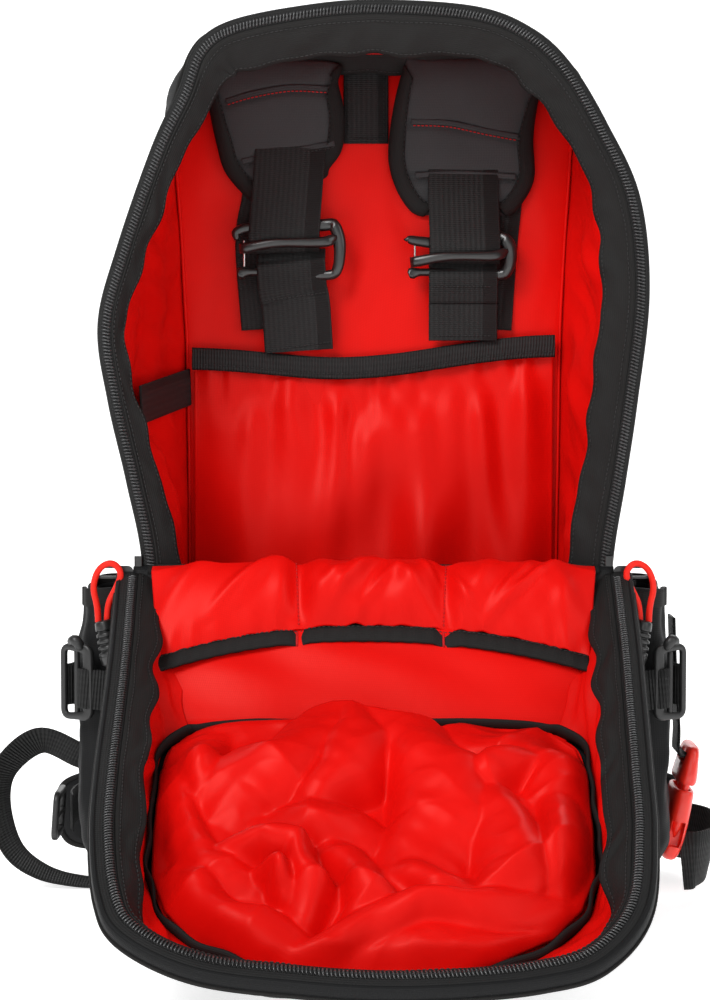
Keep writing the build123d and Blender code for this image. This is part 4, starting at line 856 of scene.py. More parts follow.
def makeFlap():
    face = np.array([0.0, -0.35, 0.94])
    # outer shell
    seam = flapRimSpot(-3.5, 10)
    rows = [flapRimSpot(-0.5, 1.4), flapRimSpot(-2.6, 2.6), flapRimSpot(-3.4, 6), seam]
    dent = waves(flapLength / 110, 0 * flapLength, 61, 7, 0.5, 3) * 1.4
    straight = ease(flapRim[:, 1], 230, 320)
    for share in np.linspace(0.08, 1, 14):
        turn = share * math.pi / 2
        pull = (1 - math.cos(turn)) * (1 - straight) + share * straight
        flat = (flapRim - flapIn * 4) * (1 - pull)[:, None] + flapSole * pull[:, None]
        depth = 10 + 40 * (math.sin(turn) * (1 - straight) + share * straight)
        wobble = (dent * math.sin(math.pi * share)
                  + 1.1 * waves(flapLength / 45, share * 2 + 0 * flapLength, 62, 6, 0.6, 2.5)
                  * math.sin(math.pi * share))
        flat = flat - flapIn * wobble[:, None]
        rows.append(flapSpot(flat[:, 0], flat[:, 1], np.minimum(depth, 6 + np.maximum(flat[:, 1] - 2, 0) * 0.5)))
    grid = np.stack(rows, 1)
    outwards = lambda c: c - (np.array([0, -45, 222]) + 190 * flapAlong + 10 * flapDown)
    dress(sheetPiece("flapShell", grid, outwards, 2.2), *flapCloth, "flap_shell")
    dress(roundTube("flapSeam", grid[:, 3], 1.2, 8), "binding", "flap", "shell_nylon")
    # face of the closed flap: rows across the sole, bulging 2 mm
    half = len(flapSole) // 2
    s = np.linspace(92, 323.5, 80)
    left, right = (np.interp(s, flapSole[: half + 1, 1], flapSole[: half + 1, 0]),
                   np.interp(s, flapSole[half:, 1][::-1], flapSole[half:, 0][::-1]))
    u = np.linspace(-1, 1, 90)[None]
    x = left[:, None] * (1 - u) / 2 + right[:, None] * (1 + u) / 2
    s = np.broadcast_to(s[:, None], x.shape)
    rise = np.sin(math.pi * np.clip((s - 92) / 231.5, 0, 1)) ** 0.7 * (1 - u**4)
    d = 49.6 + (2 + 1.1 * waves(x / 110, s / 110, 63, 7, 0.5, 2.5)) * rise
    dress(sheetPiece("flapFace", flapSpot(x, s, d), flapDown, 1.8), *flapCloth)
    # slope from the fold down to that face
    x = np.linspace(-1, 1, 70)[None]
    s = np.linspace(-1, 93, 30)[:, None]
    d = np.interp(s, [-1, 3, 93], [1.5, 4.8, 50])
    under = flapSpot(x * np.interp(s, [-1, 4, 40, 93], [150, 150, 139, 116]), s + 0 * x, d + 0 * x)
    dress(sheetPiece("flapHingeCloth", under, (0, 0.3, -1), 1.5), *flapCloth)
    # zipper tape, chain and facing round the rim
    rows = [flapRimSpot(*spot) for spot in rimShape["flapTape"]]
    dress(bandAlong("flapTape", rows, face, rimShape["tapeThickness"]), "tape", "flap", "webbing_black",
          "flap_zipper_tape")
    line = flapRimSpot(*rimShape["flapChain"])
    side = (flapSpot(flapRim[:, 0] + flapIn[:, 0], flapRim[:, 1] + flapIn[:, 1], 0)
            - flapSpot(flapRim[:, 0], flapRim[:, 1], 0))
    pick = flapRim[:, 1] > 8
    dress(coilChain("flapChain", line[pick], side[pick], np.tile(-flapDown, (pick.sum(), 1))), "coil", "flap",
          "chain_black", "flap_zipper_chain")
    dress(roundTube("flapChainCore", line[pick] + flapDown * 0.4, 0.7, 6), "tape", "flap", "chain_black")
    share = np.linspace(0, 1, 12)[None]
    sag = ruffle(flapLength, 71, 1.8, (0.006, 0.03))[:, None]
    pucker = waves(flapLength[:, None] / 28, share, 72, 7, 0.5, 1.7)
    far = ease(flapRim[:, 1], 240, 320)[:, None]
    inset = 11 + (15 - 7 * far + sag) * share
    depth = 2.7 + (6.5 + 14 * far) * share**1.4 + pucker * share * 1.1
    flat = flapRim[:, None] + flapIn[:, None] * inset[..., None]
    grid = flapSpot(flat[..., 0], flat[..., 1], depth)
    dress(sheetPiece("flapFacing", grid, face, rimShape["facingThickness"]), *flapBinding, "flap_facing")
    for k, name in ((2, "flapFacingStitchOuter"), (9, "flapFacingStitchInner")):
        dress(stitches(name, grid[:, k] - flapDown * 0.5, -flapDown), *flapThread)
    # side and far walls of the lining
    edgeFlat = flapRim + flapIn * 16
    w = np.linspace(0, 1, 22)[None, :, None]
    startDepth = 8.5 + 11 * far
    flat = edgeFlat[:, None] * (1 - w) + flapFloor[:, None] * w
    depth = startDepth * (1 - w[..., 0]) + 43.5 * w[..., 0]
    sway = waves(flapLength[:, None] / 90, w[..., 0] * 1.2, 73, 8, 0.6, 3) * 2.2 * np.sin(math.pi * w[..., 0])
    flat = flat + flapIn[:, None] * sway[..., None]
    grid = flapSpot(flat[..., 0], flat[..., 1], depth)
    dress(sheetPiece("flapLining", grid, face, 0.8), *flapSatin, "flap_lining")
    # hinge wall: from the fold down to the floor of the flap
    s = np.concatenate([np.linspace(0.6, 10, 8)[:-1], np.linspace(10, 122, 60)])[:, None]
    share = np.linspace(-1, 1, 150)[None]
    half = np.interp(s, [0, 8, 60, 108, 122], [139, 138, 130, 116, 114])
    x = half * share
    base = np.interp(s, [0, 8, 100, 122], [1.6, 3.0, 43.5, 44.0])
    hump = 4 * np.sin(math.pi * np.clip((s + 6) / 128, 0, 1)) * (1 - share**4)
    wrinkle = waves(x / 120, s / 60, 74, 8, 0.5, 2.4) * 1.3 * np.sin(math.pi * np.clip((s + 6) / 128, 0, 1))
    grid = flapSpot(x, s + 0 * x, base - hump - wrinkle)
    dress(sheetPiece("flapHingeLining", grid, face, 0.8), *flapSatin)
    # three-section gathered pocket over it
    s = np.linspace(0.8, 44, 90)[:, None]
    share = np.linspace(-1, 1, 280)[None]
    half = np.interp(s, [0, 6, 46], [138, 138, 131])
    x = half * share
    t = (s - 0.8) / 43.2
    base = np.interp(s, [0, 6, 46], [2.6, 1.0, 18.5])
    lift = flapPocket["lift"] * np.sin(math.pi * np.clip(t * 0.97 + 0.01, 0, 1)) ** 0.7
    seams = np.ones_like(x)
    for centre in flapPocket["seams"]:
        seams = seams - 0.62 * np.exp(-(((x - centre) / 7) ** 2))
    seams = seams * (1 - 0.75 * np.abs(share) ** 7)
    rng = np.random.default_rng(75)
    folds = np.zeros_like(x + s)
    for _ in range(24):
        centre, lean, wide = rng.uniform(-128, 128), rng.uniform(-1.4, 1.4), rng.uniform(3.5, 9)
        folds = (folds + rng.uniform(1.4, 4.2) * np.exp(-(((x - centre - lean * (s - 20)) / wide) ** 2))
                 * np.sin(math.pi * np.clip(t * rng.uniform(0.8, 1.1) + rng.uniform(0, 0.2), 0, 1)))
    pleats = 0.9 * np.sin(x / 2.6 + np.sin(x / 9)) * ease(t, 0.7, 1)
    mouthShift = pocketSag(x)
    sLine = s + t * mouthShift
    grid = flapSpot(x, sLine, base + 0.45 * t * mouthShift - (lift * seams + folds * seams + pleats + 2.5))
    dress(sheetPiece("flapPocket", grid, face, flapPocket["thickness"]), *flapSatin, "flap_pocket")
    for k, centre in enumerate(flapPocket["seams"], 1):
        column = int((centre / 134 + 1) / 2 * 279)
        dress(stitches(f"flapPocketSeam{k}", grid[8:, column] - flapDown * 0.6, -flapDown, 2.6, 1.7, 0.4),
              "redThread", "flap", "lining_red")
    # black elastic over the pocket mouth
    x = np.linspace(-131, 131, 200)
    roll = np.linspace(0, 1, 8)[None]
    sTop = 43 + pocketSag(x) + 0.8 * np.sin(x / 40)
    dTop = 18.0 + 0.45 * pocketSag(x)
    dip = sum(0.55 * np.exp(-(((x - c) / 5) ** 2)) for c in flapPocket["seams"])
    grid = flapSpot(np.broadcast_to(x[:, None], (200, 8)), (sTop - 2)[:, None] + 13.5 * roll,
                    dTop[:, None] + 3.2 * roll - 4.6 * (1 - dip[:, None]) - 1.4 * np.sin(math.pi * roll)
                    + 0.2 * np.sin(x[:, None] / 1.5))
    dress(sheetPiece("flapPocketBinding", grid, face, 1.4), *flapBinding, "flap_bindings")
    dress(stitches("flapPocketStitch", grid[:, 2] - flapDown * 0.5, -flapDown, 3, 2), *flapThread)
    for k, centre in enumerate(flapPocket["seams"], 1):
        column = int((centre / 131 + 1) / 2 * 199)
        dress(roundTube(f"bindingBar{k}", grid[column] - flapDown * 0.3, 0.8, 6), "redThread", "flap", "lining_red")
    # bound seam round the floor
    loop = np.concatenate([flapFloor,
                           np.stack([np.linspace(flapFloor[-1, 0], flapFloor[0, 0], 60)[1:-1],
                                     104 + 8 * np.abs(np.linspace(1, -1, 60)[1:-1]) ** 6], 1)])
    loop = evenly(np.concatenate([loop, loop[:1]]), 501)[:-1]
    for _ in range(6):
        loop = (loop + np.roll(loop, 1, 0) + np.roll(loop, -1, 0)) / 3
    at = np.arange(500) * 1.9
    middle = loop.mean(0)
    into = unit(middle - loop)
    sag = ruffle(at, 76, 1.2, (0.006, 0.03))
    rings = []
    for offset, height in ((-1.2, 0), (-1.4, 5), (-0.3, 8.4), (1.2, 8.0), (1.5, 4), (1.2, 0)):
        flat = loop + into * (offset + sag[:, None])
        rings.append(flapSpot(flat[:, 0], flat[:, 1], 44.5 - height - 0.5 * sag))
    dress(closedPiece("floorBinding", np.stack(rings, 1), wrap=True, cap=False), *flapBinding)
    # loose satin gathered inside the bound seam
    u = np.linspace(-1, 1, 190)
    v = np.linspace(0, 1, 170)
    sv = 106 + 207 * v
    halfAt = (np.interp(sv, [104, 112, 124, 150, 200, 234, 262, 282, 301, 314],
                        [100, 108, 120, 125, 125, 123, 114, 98, 68, 34]) - 0.5)
    uu = halfAt[:, None] * u[None]
    vv = np.broadcast_to(sv[:, None], uu.shape)
    bentU = uu + 3 * waves(uu / 60, vv / 60, 79, 7, 0.5, 1.6)
    bentV = vv + 3 * waves(uu / 60, vv / 60, 80, 7, 0.5, 1.6)
    height = 9 + 4 * waves(uu / 80, vv / 80, 81, 6, 0.5, 1.6)
    for path, size, wide in looseShape["folds"]:
        height = np.maximum(height, ridge(bentU, bentV, path, size, wide))
    near = np.clip(1.05 - np.abs(uu + 17) / 105, 0.1, 1)
    height = height * (near + (1 - near) * ease(vv, 104, 165))
    for _ in range(3):
        padded = np.pad(height, 1, mode="edge")
        height = ((padded[1:-1, 1:-1] * 2 + padded[:-2, 1:-1] + padded[2:, 1:-1] + padded[1:-1, :-2]
                   + padded[1:-1, 2:]) / 6)
    edge = (1 - np.abs(u)[None] ** 12) * ease(v, -0.03, 0.04)[:, None] * (1 - ease(v, 0.93, 1))[:, None]
    creases = (4.5 - 9.0 * np.abs(waves(uu / 120, vv / 120, 77, 4, 0.5, 1.5)) ** 0.85
               - 1.0 * np.abs(waves(uu / 50, vv / 50, 83, 5, 0.5, 1.6)))
    fine = creases + waves(uu / 25, vv / 25, 78, 8, 0.6, 2) * 0.25
    height = (height + fine) * (0.2 + 0.8 * edge) + 1.5
    grid = flapSpot(uu, vv, 43.5 - height)
    loose = sheetPiece("looseLining", grid, face, 0.6)
    dress(loose, *flapSatin, "flap_loose_lining")
    # floor below it
    fan = np.linspace(0, 1, 12)[None, :, None]
    floorGrid = (flapSpot(flapFloor[:, 0] * 0.98, flapFloor[:, 1] * 0.98 + 4, 44)[:, None] * (1 - fan)
                 + (flapSpot(flapFloor[:, 0] * 0.03, flapFloor[:, 1] * 0 + 210, 44))[:, None] * fan)
    dress(sheetPiece("flapFloorCloth", floorGrid, face), *flapSatin)
    # piping along the fold
    x = np.linspace(-141, 141, 80)
    dress(roundTube("foldPiping", np.stack([x, -45 + 0 * x + 0.6, 222 - 3.2 + 0 * x], 1), 3.2, 10), *packEdge,
          "hinge_piping")
    print("flap made")


def padForm(name, outline, bend, normal, thick, rings=14, crown=0.5, bottom=0.3):
    # cushion from a closed outline: rings run in to the middle, and height = thick * (1 - r^5)^crown on both faces
    normal = np.array(normal, float)
    middle = outline.mean(0)
    rows = []
    radii = np.linspace(0.02, 1, rings)
    for r in radii:
        flat = middle + (outline - middle) * r
        rows.append(flat + normal * thick * (1 - bottom) * (1 - r**5) ** crown)
    for r in radii[::-1][1:]:
        flat = middle + (outline - middle) * r
        rows.append(flat - normal * thick * bottom * (1 - r**5) ** crown)
    grid = np.stack(rows)
    if bend:
        grid[..., 1] += bend(grid)
    return closedPiece(name, grid)


strapShape = {
    "left": {"outline": [(-112, 549), (-109, 520), (-104, 495), (-99, 478), (-88, 464), (-79, 457), (-72, 462),
                         (-36, 472), (-30, 480), (-22, 492), (-20, 512), (-24, 533), (-29, 549)],
             "webTop": (-56, 494), "webEnd": (-59.5, 428), "seam": [(-98, 521), (-80, 526), (-55, 530), (-29, 529)],
             "mouth": [(-88, 482), (-60, 488), (-26, 494)],
             "hook": (-57, 419), "loopEnd": (-50, 357), "ladderTop": (-71, 464), "ladderEnd": (-84, 430)},
    "right": {"outline": [(22, 550), (16, 528), (12, 505), (11, 484), (16, 466), (25, 452), (34, 448), (42, 452),
                          (80, 452), (90, 448), (100, 458), (107, 474), (106, 500), (110, 528), (116, 549)],
              "webTop": (60, 470), "webEnd": (61, 421), "seam": [(25, 508), (50, 507), (75, 502), (97, 498)],
              "mouth": [(28, 473), (58, 474), (95, 472)],
              "hook": (58, 411), "loopEnd": (60, 364), "ladderTop": (83, 470), "ladderEnd": (88, 430)},
}


def padDepth(z):
    # depth of a strap pad's middle: it leans back 12 mm over its upper 80 mm
    return 66 + 12 * ease(549 - z, 0, 80)


def rowPad(name, outline, lean, shape):
    # rows across the pad, u across and w along: height = 5.6 * (1 - |u|^6)^0.5 * (1 - |w|^6)^0.5 in front and 2.4
    # times the same behind, dipped where a seam crosses
    low = int(np.argmin(outline[:, 1]))
    left, right = outline[: low + 1], np.concatenate([outline[low:], outline[:1] * [0, 0] + outline[-1:]])
    w = -np.cos(math.pi * np.linspace(0.02, 0.985, 90))
    zLow, zHigh = outline[low, 1], outline[:, 1].max()
    z = zLow + (zHigh - zLow) * (w + 1) / 2
    leftZ, rightZ = np.minimum.accumulate(left[:, 1])[::-1], np.maximum.accumulate(right[:, 1])
    leftX, rightX = np.interp(z, leftZ, left[::-1, 0]), np.interp(z, rightZ, right[:, 0])
    u = -np.cos(math.pi * np.linspace(0.0, 1, 70))[None]
    x = leftX[:, None] * (1 - u) / 2 + rightX[:, None] * (1 + u) / 2
    z2 = np.broadcast_to(z[:, None], x.shape)
    puff = (1 - np.abs(u) ** 6) ** 0.5 * (1 - np.abs(w[:, None]) ** 6) ** 0.5
    dip = 1.0
    for key in ("seam", "mouth"):
        line = spans(shape[key], 12)
        away = z2 - np.interp(x, line[:, 0], line[:, 1])
        dip = dip - 0.3 * np.exp(-((away / 3.2) ** 2))
    back = np.stack([x, 2.4 * puff, z2], -1)[:, ::-1]
    front = np.stack([x, -5.6 * puff * dip, z2], -1)
    rings = np.concatenate([front, back[:, 1:-1]], 1)
    rings[..., 1] += lean(rings)
    return closedPiece(name, rings)


def onFront(points, y):
    p = np.array(points, float)
    return np.stack([p[:, 0], np.broadcast_to(y, (len(p),)), p[:, 1]], 1)


def makeStraps():
    for side, shape in strapShape.items():
        outline = spans(np.array(shape["outline"] + shape["outline"][:1]), 10)[:-1]
        leanAt = lambda p: padDepth(p[..., 2]) + 0.5 * waves(p[..., 0] / 60, p[..., 2] / 60, 55, 6, 0.5, 1.5)
        lean = padDepth(outline[:, 1])
        pad = rowPad(side + "StrapPad", outline, leanAt, shape)
        dress(pad, "ripstop", "pack", "strap_ripstop", *leftOnly(side, "strap_ends"))
        # bound edge: flat band that wraps the pad's rim
        centre = outline.mean(0)
        ringIn = unit(centre - outline)
        rows = []
        for offset, rise in ((-0.8, 0.5), (-1.0, -2.0), (1.5, -4.4), (5, -5.6), (9.5, -6.3), (10, -5.4)):
            flat = outline + ringIn * offset
            rows.append(np.stack([flat[:, 0], lean + rise, flat[:, 1]], 1))
        band = np.stack(rows, 1)
        keep = outline[:, 1] < 547
        first = int(np.argmax(~keep)) if (~keep).any() else 0
        order = np.roll(np.arange(len(outline)), -first)
        order = order[keep[order]]
        dress(sheetPiece(side + "PadBinding", band[order], (0, -1, 0), 0.9), "binding", "pack", "strap_ripstop")
        dress(stitches(side + "PadBindingStitch", band[order][:, 4] + [0, -0.5, 0], (0, -1, 0), 3.2, 2.1), "thread",
              "pack", "strap_ripstop")
        for key, finish, name in (("seam", "redThread", "Seam"), ("mouth", "thread", "MouthSeam")):
            line = evenly(spans(shape[key], 12), 60)
            drop = padDepth(line[:, 1]) - 6.3
            front = onFront(line, drop)
            dress(stitches(side + name + "Thread", front + [0, -0.5, -1.2], (0, -1, 0), 2.7, 1.9, 0.4), finish,
                  "pack", "strap_ripstop")
            dress(ribbon(side + name + "Fold", front + [0, 0.6, 1.4], (0, 0, 1), 4, 1.6), "ripstop", "pack",
                  "strap_ripstop")
        # webbing from the pad down round the hook's bar and back up behind
        top, low = np.array(shape["webTop"], float), np.array(shape["webEnd"], float)
        path = smoothLine([(top[0], 73, top[1] + 8), (top[0], 69.5, top[1] - 6),
                           ((top[0] + low[0]) / 2, 66.5, (top[1] + low[1]) / 2), (low[0], 62.5, low[1] + 8),
                           (low[0], 63.5, low[1] - 1), (low[0], 67, low[1] - 5),
                           (low[0], 71.5, low[1] - 1), (low[0], 73.5, low[1] + 12), (low[0] + 1, 74.5, low[1] + 34)],
                           90)
        name = side + "StrapWebbing"
        dress(ribbon(name, path, (1, 0, 0.03 if side == "left" else -0.02), 47, 1.7), *packWebbing,
              *leftOnly(side, "strap_webbing"))
        # ladder loop below the hook
        end = np.array(shape["loopEnd"], float)
        x0 = shape["hook"][0] + 2
        path = smoothLine([(x0, 72, low[1] - 4), (x0, 68, low[1] - 14 + 4), (x0, 64.5, low[1] - 15),
                           (x0 + (end[0] - x0) * 0.2, 68, low[1] - 30),
                           (x0 + (end[0] - x0) * 0.6, 70, (low[1] + end[1]) / 2 - 5), (end[0], 71, end[1])], 90)
        dress(ribbon(side + "LoopWebbing", path, (1, 0, 0.14 if side == "left" else 0.0), 46, 2.4), *packWebbing,
              *leftOnly(side, "ladder_loops"))
        for height, key in ((36, "Bar"), (3.5, "End")):
            slope = 0.14 if side == "left" else 0.0
            k = int(np.argmin(np.abs(path[:, 2] - (end[1] + height))))
            across = np.linspace(-21, 21, 30)
            line = np.stack([path[k, 0] + across, np.full(30, path[k, 1] - 1.6), path[k, 2] + across * slope], 1)
            dress(stitches(side + "Loop" + key + "Stitch", line, (0, -1, 0), 2.6, 1.8, 0.45), *packThread)
        # ladder webbing behind, leaning outward
        a, b = np.array(shape["ladderTop"], float), np.array(shape["ladderEnd"], float)
        path = smoothLine([(a[0] + (4 if side == "left" else -6), 77, 520), (a[0], 79.5, a[1]),
                           (b[0] + (8 if side == "left" else -8), 79.5, b[1]),
                           (b[0] + (12 if side == "left" else -12), 78.5, 372)], 60)
        dress(ribbon(side + "LadderWebbing", path, (1, 0, -0.08 if side == "left" else 0.08), 34, 1.6), *packWebbing,
              *leftOnly(side, "ladder_webbing"))
    print("straps made")


def frameLoop(name, path, section, sides=14):
    # closed bar: an oval section, its two half sizes given per point, carried round a closed path
    forward = unit(np.roll(path, -1, 0) - np.roll(path, 1, 0))
    centre = path.mean(0)
    plane = unit(np.cross(path[0] - centre, path[len(path) // 4] - centre))
    across = unit(np.cross(np.broadcast_to(plane, forward.shape), forward))
    c, s = squircle(sides, 0.6, 0.6)
    size = np.broadcast_to(np.asarray(section, float), (len(path), 2))
    rings = (path[:, None] + across[:, None] * (c[None] * size[:, :1])[..., None]
             + plane * (s[None] * size[:, 1:])[..., None])
    return closedPiece(name, rings, wrap=True, cap=False)


def roundedRing(corners, radius, step=1.2):
    # closed path through plane corners, each rounded by a quadratic curve: (1 - t)^2 a + 2 t (1 - t) b + t^2 c
    corners = np.array(corners, float)
    radius = np.broadcast_to(np.asarray(radius, float), (len(corners),))
    pieces = []
    for k, corner in enumerate(corners):
        before, after = unit(corners[k - 1] - corner), unit(corners[(k + 1) % len(corners)] - corner)
        half = 0.5 * math.acos(np.clip(before @ after, -1, 1))
        reach = radius[k] / math.tan(half)
        start, stop = corner + before * reach, corner + after * reach
        t = np.linspace(0, 1, 9)[:, None]
        pieces.append((1 - t) ** 2 * start + 2 * t * (1 - t) * corner + t**2 * stop)
    ring = np.concatenate(pieces)
    closed = np.concatenate([ring, ring[:1]])
    return evenly(closed, int(lengths(closed)[-1] / step))[:-1]


hookShape = {"x": (-57, 57), "half": 33}


def ovalBar(name, line, wide, deep):
    # ellipse of half sizes wide and deep, carried along a line that lies across the view
    turn = np.linspace(0, tau, 14, endpoint=False)
    forward = tangents(line)
    out = np.tile([0.0, -1, 0], (len(line), 1))
    across = unit(np.cross(out, forward))
    ring = line[:, None] + across[:, None] * (np.cos(turn)[None] * wide[:, None])[..., None]
    return closedPiece(name, ring + out[:, None] * (np.sin(turn)[None] * deep)[..., None])


def makeHooks():
    for side, x, drop in zip(("left", "right"), hookShape["x"], (0, 9)):
        h = hookShape["half"]
        # frame with a gap at its left side, closed by the sprung wire
        path = [(x - h - 1, 66, 431), (x - h - 1.5, 66, 436 - drop / 2), (x - h + 7, 66.5, 439 - drop),
                (x - 10, 68, 438 - drop), (x + h - 9, 67, 441 - drop), (x + h - 2, 65, 440 - drop),
                (x + h + 1.5, 64, 428 - drop / 2),
                (x + h, 65, 412), (x + h - 7, 66.5, 407.5), (x, 68, 409), (x - h + 6, 67, 409.5),
                (x - h - 0.5, 66, 407.5)]
        line = smoothLine(path, 150)
        size = np.interp(np.linspace(0, 1, 150), [0, 0.03, 0.12, 0.5, 0.62, 0.95, 0.985, 1],
                         [1.8, 3.2, 3.8, 4.2, 3.4, 2.6, 4.2, 2.2])
        dress(ovalBar(side + "HookFrame", line, size, 2.2), "hookMetal", "pack", "metal_black",
              *leftOnly(side, "webbing_hooks"))
        # front bar that the lower webbing tucks under
        path = smoothLine([(x - h + 0.5, 65, 425 - drop), (x - h + 5, 61.5, 425.5 - drop),
                           (x - 8, 59.5, 428.5 - drop), (x + h - 12, 60, 429 - drop), (x + h - 3, 62, 431 - drop),
                           (x + h, 65, 430 - drop)], 80)
        size = np.interp(np.linspace(0, 1, 80), [0, 0.1, 0.5, 0.9, 1], [3.4, 3.6, 3.0, 3.6, 3.2])
        dress(ovalBar(side + "HookBar", path, size, 2.0), "hookMetal", "pack", "metal_black")


lockShape = {"bar": (179, -47), "low": 130, "high": 168, "reach": 18, "lean": 30}


sidePocket = {
    # plan from the front of the wall round the outside to the rear, bottom and hem heights
    "plan": [(139, -34), (150, -38), (168, -38), (181, -35), (187, -26), (189, -5), (189, 25), (187, 46), (178, 58),
             (155, 64), (130, 66)],
    "low": 25, "high": 201, "hem": 12, "thickness": 2.2, "strapWidth": 25, "strapThickness": 1.6,
}


def makeSides():
    for side, sign in (("left", -1), ("right", 1)):
        # bottle pocket: plan outline from the front of the wall, round the outside, to the rear
        plan = evenly(spans(sidePocket["plan"], 10), 110)
        share = np.linspace(0, 1, 80)[:, None]
        z = sidePocket["low"] + (sidePocket["high"] - sidePocket["low"]) * share
        at = np.linspace(0, 1, 110)[None]
        middle = np.array([150, 12.0])
        belly = (0.93 + 0.07 * np.sin(math.pi * np.clip(share * 0.9 + 0.1, 0, 1)) - 0.03 * ease(share, 0.88, 1)
                 - 0.16 * ease(0.12 - share, 0, 0.12))
        x = middle[0] + (plan[None, :, 0] - middle[0]) * belly
        y = middle[1] + (plan[None, :, 1] - middle[1]) * belly
        normal = unit(np.stack([np.gradient(plan[:, 1]), -np.gradient(plan[:, 0])], 1))
        hold = np.sin(math.pi * at) ** 0.5
        crease = (waves(at * 2.0 + 0 * z, z / 120, 82 + sign, 10, 0.6, 3) * 1.8
                  + waves(at * 6 + 0 * z, z / 50, 84 + sign, 8, 0.6, 2.5) * 0.7)
        crease = crease + 2.5 * np.exp(-(((at - 0.2 - 0.12 * share) / 0.02) ** 2)) * ease(share, 0.05, 0.4)
        x = x + normal[None, :, 0] * crease * hold
        y = y + normal[None, :, 1] * crease * hold
        topEdge = 199 + 5 * np.sin(at * 9 + 1) * hold + 5 * np.exp(-(((at - 0.35) / 0.1) ** 2))
        z = sidePocket["low"] + (topEdge - sidePocket["low"]) * share
        grid = np.stack([sign * x, y, z + 0 * x], -1)
        outwards = lambda c, s=sign: c - np.array([s * 140, 10, 100])
        dress(sheetPiece(side + "Pocket", grid, outwards, sidePocket["thickness"]), *packCloth, f"side_pocket_{side}")
        dress(ribbon(side + "PocketHem", evenly(grid[-1], 140), (0, 0, 1), sidePocket["hem"], 1.5), *packEdge)
        # pocket floor
        rows = np.stack([grid[0] * (1 - t) + np.array([sign * 140, 14, 25]) * t for t in np.linspace(0, 0.98, 6)])
        dress(sheetPiece(side + "PocketFloor", rows, (0, 0, -1), 1.5), *packCloth)
        # anchor patch with its bar of stitches
        edge = spans([(146, 168), (154, 168), (161, 165), (163, 158), (163, 130), (161, 121), (154, 118), (146, 118)],
                     8)
        fan = np.linspace(0, 1, 8)[None, :, None]
        inner = np.stack([np.full(len(edge), 146.5), 143 + (edge[:, 1] - 143) * 0.9], 1)
        flat = edge[:, None] * (1 - fan) + inner[:, None] * fan
        puff = (-45.6 - 1.6 * np.sin(math.pi * np.clip(fan[..., 0] * 1.2, 0, 1))
                - 0.4 * waves(flat[..., 0] / 14, flat[..., 1] / 22, 86, 5, 0.5, 1.5))
        grid = np.stack([sign * flat[..., 0], puff + 0 * flat[..., 0], flat[..., 1]], -1)
        dress(sheetPiece(side + "AnchorPatch", grid, (0, -1, 0), 1.4), *packCloth, *leftOnly(side, "strap_anchors"))
        line = np.array([(sign * 160.2, -47.2, 124), (sign * 160.8, -47.4, 143), (sign * 160.2, -47.2, 162)], float)
        for name, shift in (("AnchorStitch", 0), ("AnchorStitchInner", sign * 2.2)):
            dress(stitches(side + name, line - [shift, 0, 0], (0, -1, 0), 2.6, 1.8, 0.45), *packThread)
        # compression strap: patch to lock, then lock round the pocket to the rear
        path = smoothLine([(sign * 150, -47.6, 144), (sign * 165, -48.6, 144), (sign * 178, -49.6, 145),
                           (sign * 183.5, -48.6, 145.5), (sign * 184.5, -45.5, 145.5), (sign * 181.5, -43.6, 145.5),
                           (sign * 172, -43.8, 144)], 70)
        dress(ribbon(side + "FrontStrap", path, (0, 0, 1), sidePocket["strapWidth"], sidePocket["strapThickness"]),
              *packRibbed, *leftOnly(side, "compression_straps"))
        path = smoothLine([(sign * 189, -33, 146), (sign * 193.5, -36.5, 146), (sign * 196.5, -33, 146),
                           (sign * 195, -20, 145), (sign * 193.5, 10, 143), (sign * 193, 45, 143),
                           (sign * 187, 66, 143), (sign * 160, 82, 143), (sign * 131, 90, 143)], 110)
        dress(ribbon(side + "RearStrap", path, (0, 0, 1), sidePocket["strapWidth"], sidePocket["strapThickness"]),
              *packRibbed)
        makeLock(side, sign)
        makePull(side, sign)
    print("sides made")


def makeLock(side, sign):
    lean = math.radians(lockShape["lean"])
    bx, by = lockShape["bar"]
    out = np.array([sign * math.cos(lean), math.sin(lean), 0])
    low, high, reach = lockShape["low"] - 2, lockShape["high"] + 2, lockShape["reach"]
    start = np.array([sign * bx, by, 0.0])
    corners = [start + out * -1 + [0, 0, low], start + out * reach + [0, 0, low - 1],
               start + out * reach + [0, 0, high + 1], start + out * -1 + [0, 0, high]]
    ring = roundedRing(corners, 4.5)
    away = (ring - start) @ out
    size = np.stack([np.interp(away, [-1, 1, 5, 13, 17], [3.6, 3.4, 2.6, 2.2, 2.0]),
                     np.interp(away, [-1, 4, 17], [2.3, 2.6, 1.9])], 1)
    dress(frameLoop(side + "LockFrame", ring, size), "acetal", f"lock_{side}", "plastic_black", f"ladder_lock_{side}")
    middle = np.stack([start + out * 8 + [0, 0, z] for z in np.linspace(low + 1, high - 1, 20)])
    dress(roundTube(side + "LockBar", middle, 1.8, 10), "acetal", f"lock_{side}", "plastic_black")
    # thumb tab at the upper corner
    t = np.linspace(0, 1, 18)[:, None]
    spine = (start + out * (4 + 9 * t) + np.array([0, -1.5, high]) + np.array([0, 0, 1]) * 5.5
             * np.sin(math.pi * t * 0.85) - np.array([0, 1, 0]) * 2.5 * np.sin(math.pi * t))
    size = np.interp(t[:, 0], [0, 0.15, 0.5, 0.85, 1], [2.2, 3.2, 3.6, 3.0, 1.6])
    dress(roundTube(side + "LockTab", spine, size, 12), "acetal", f"lock_{side}", "plastic_black")


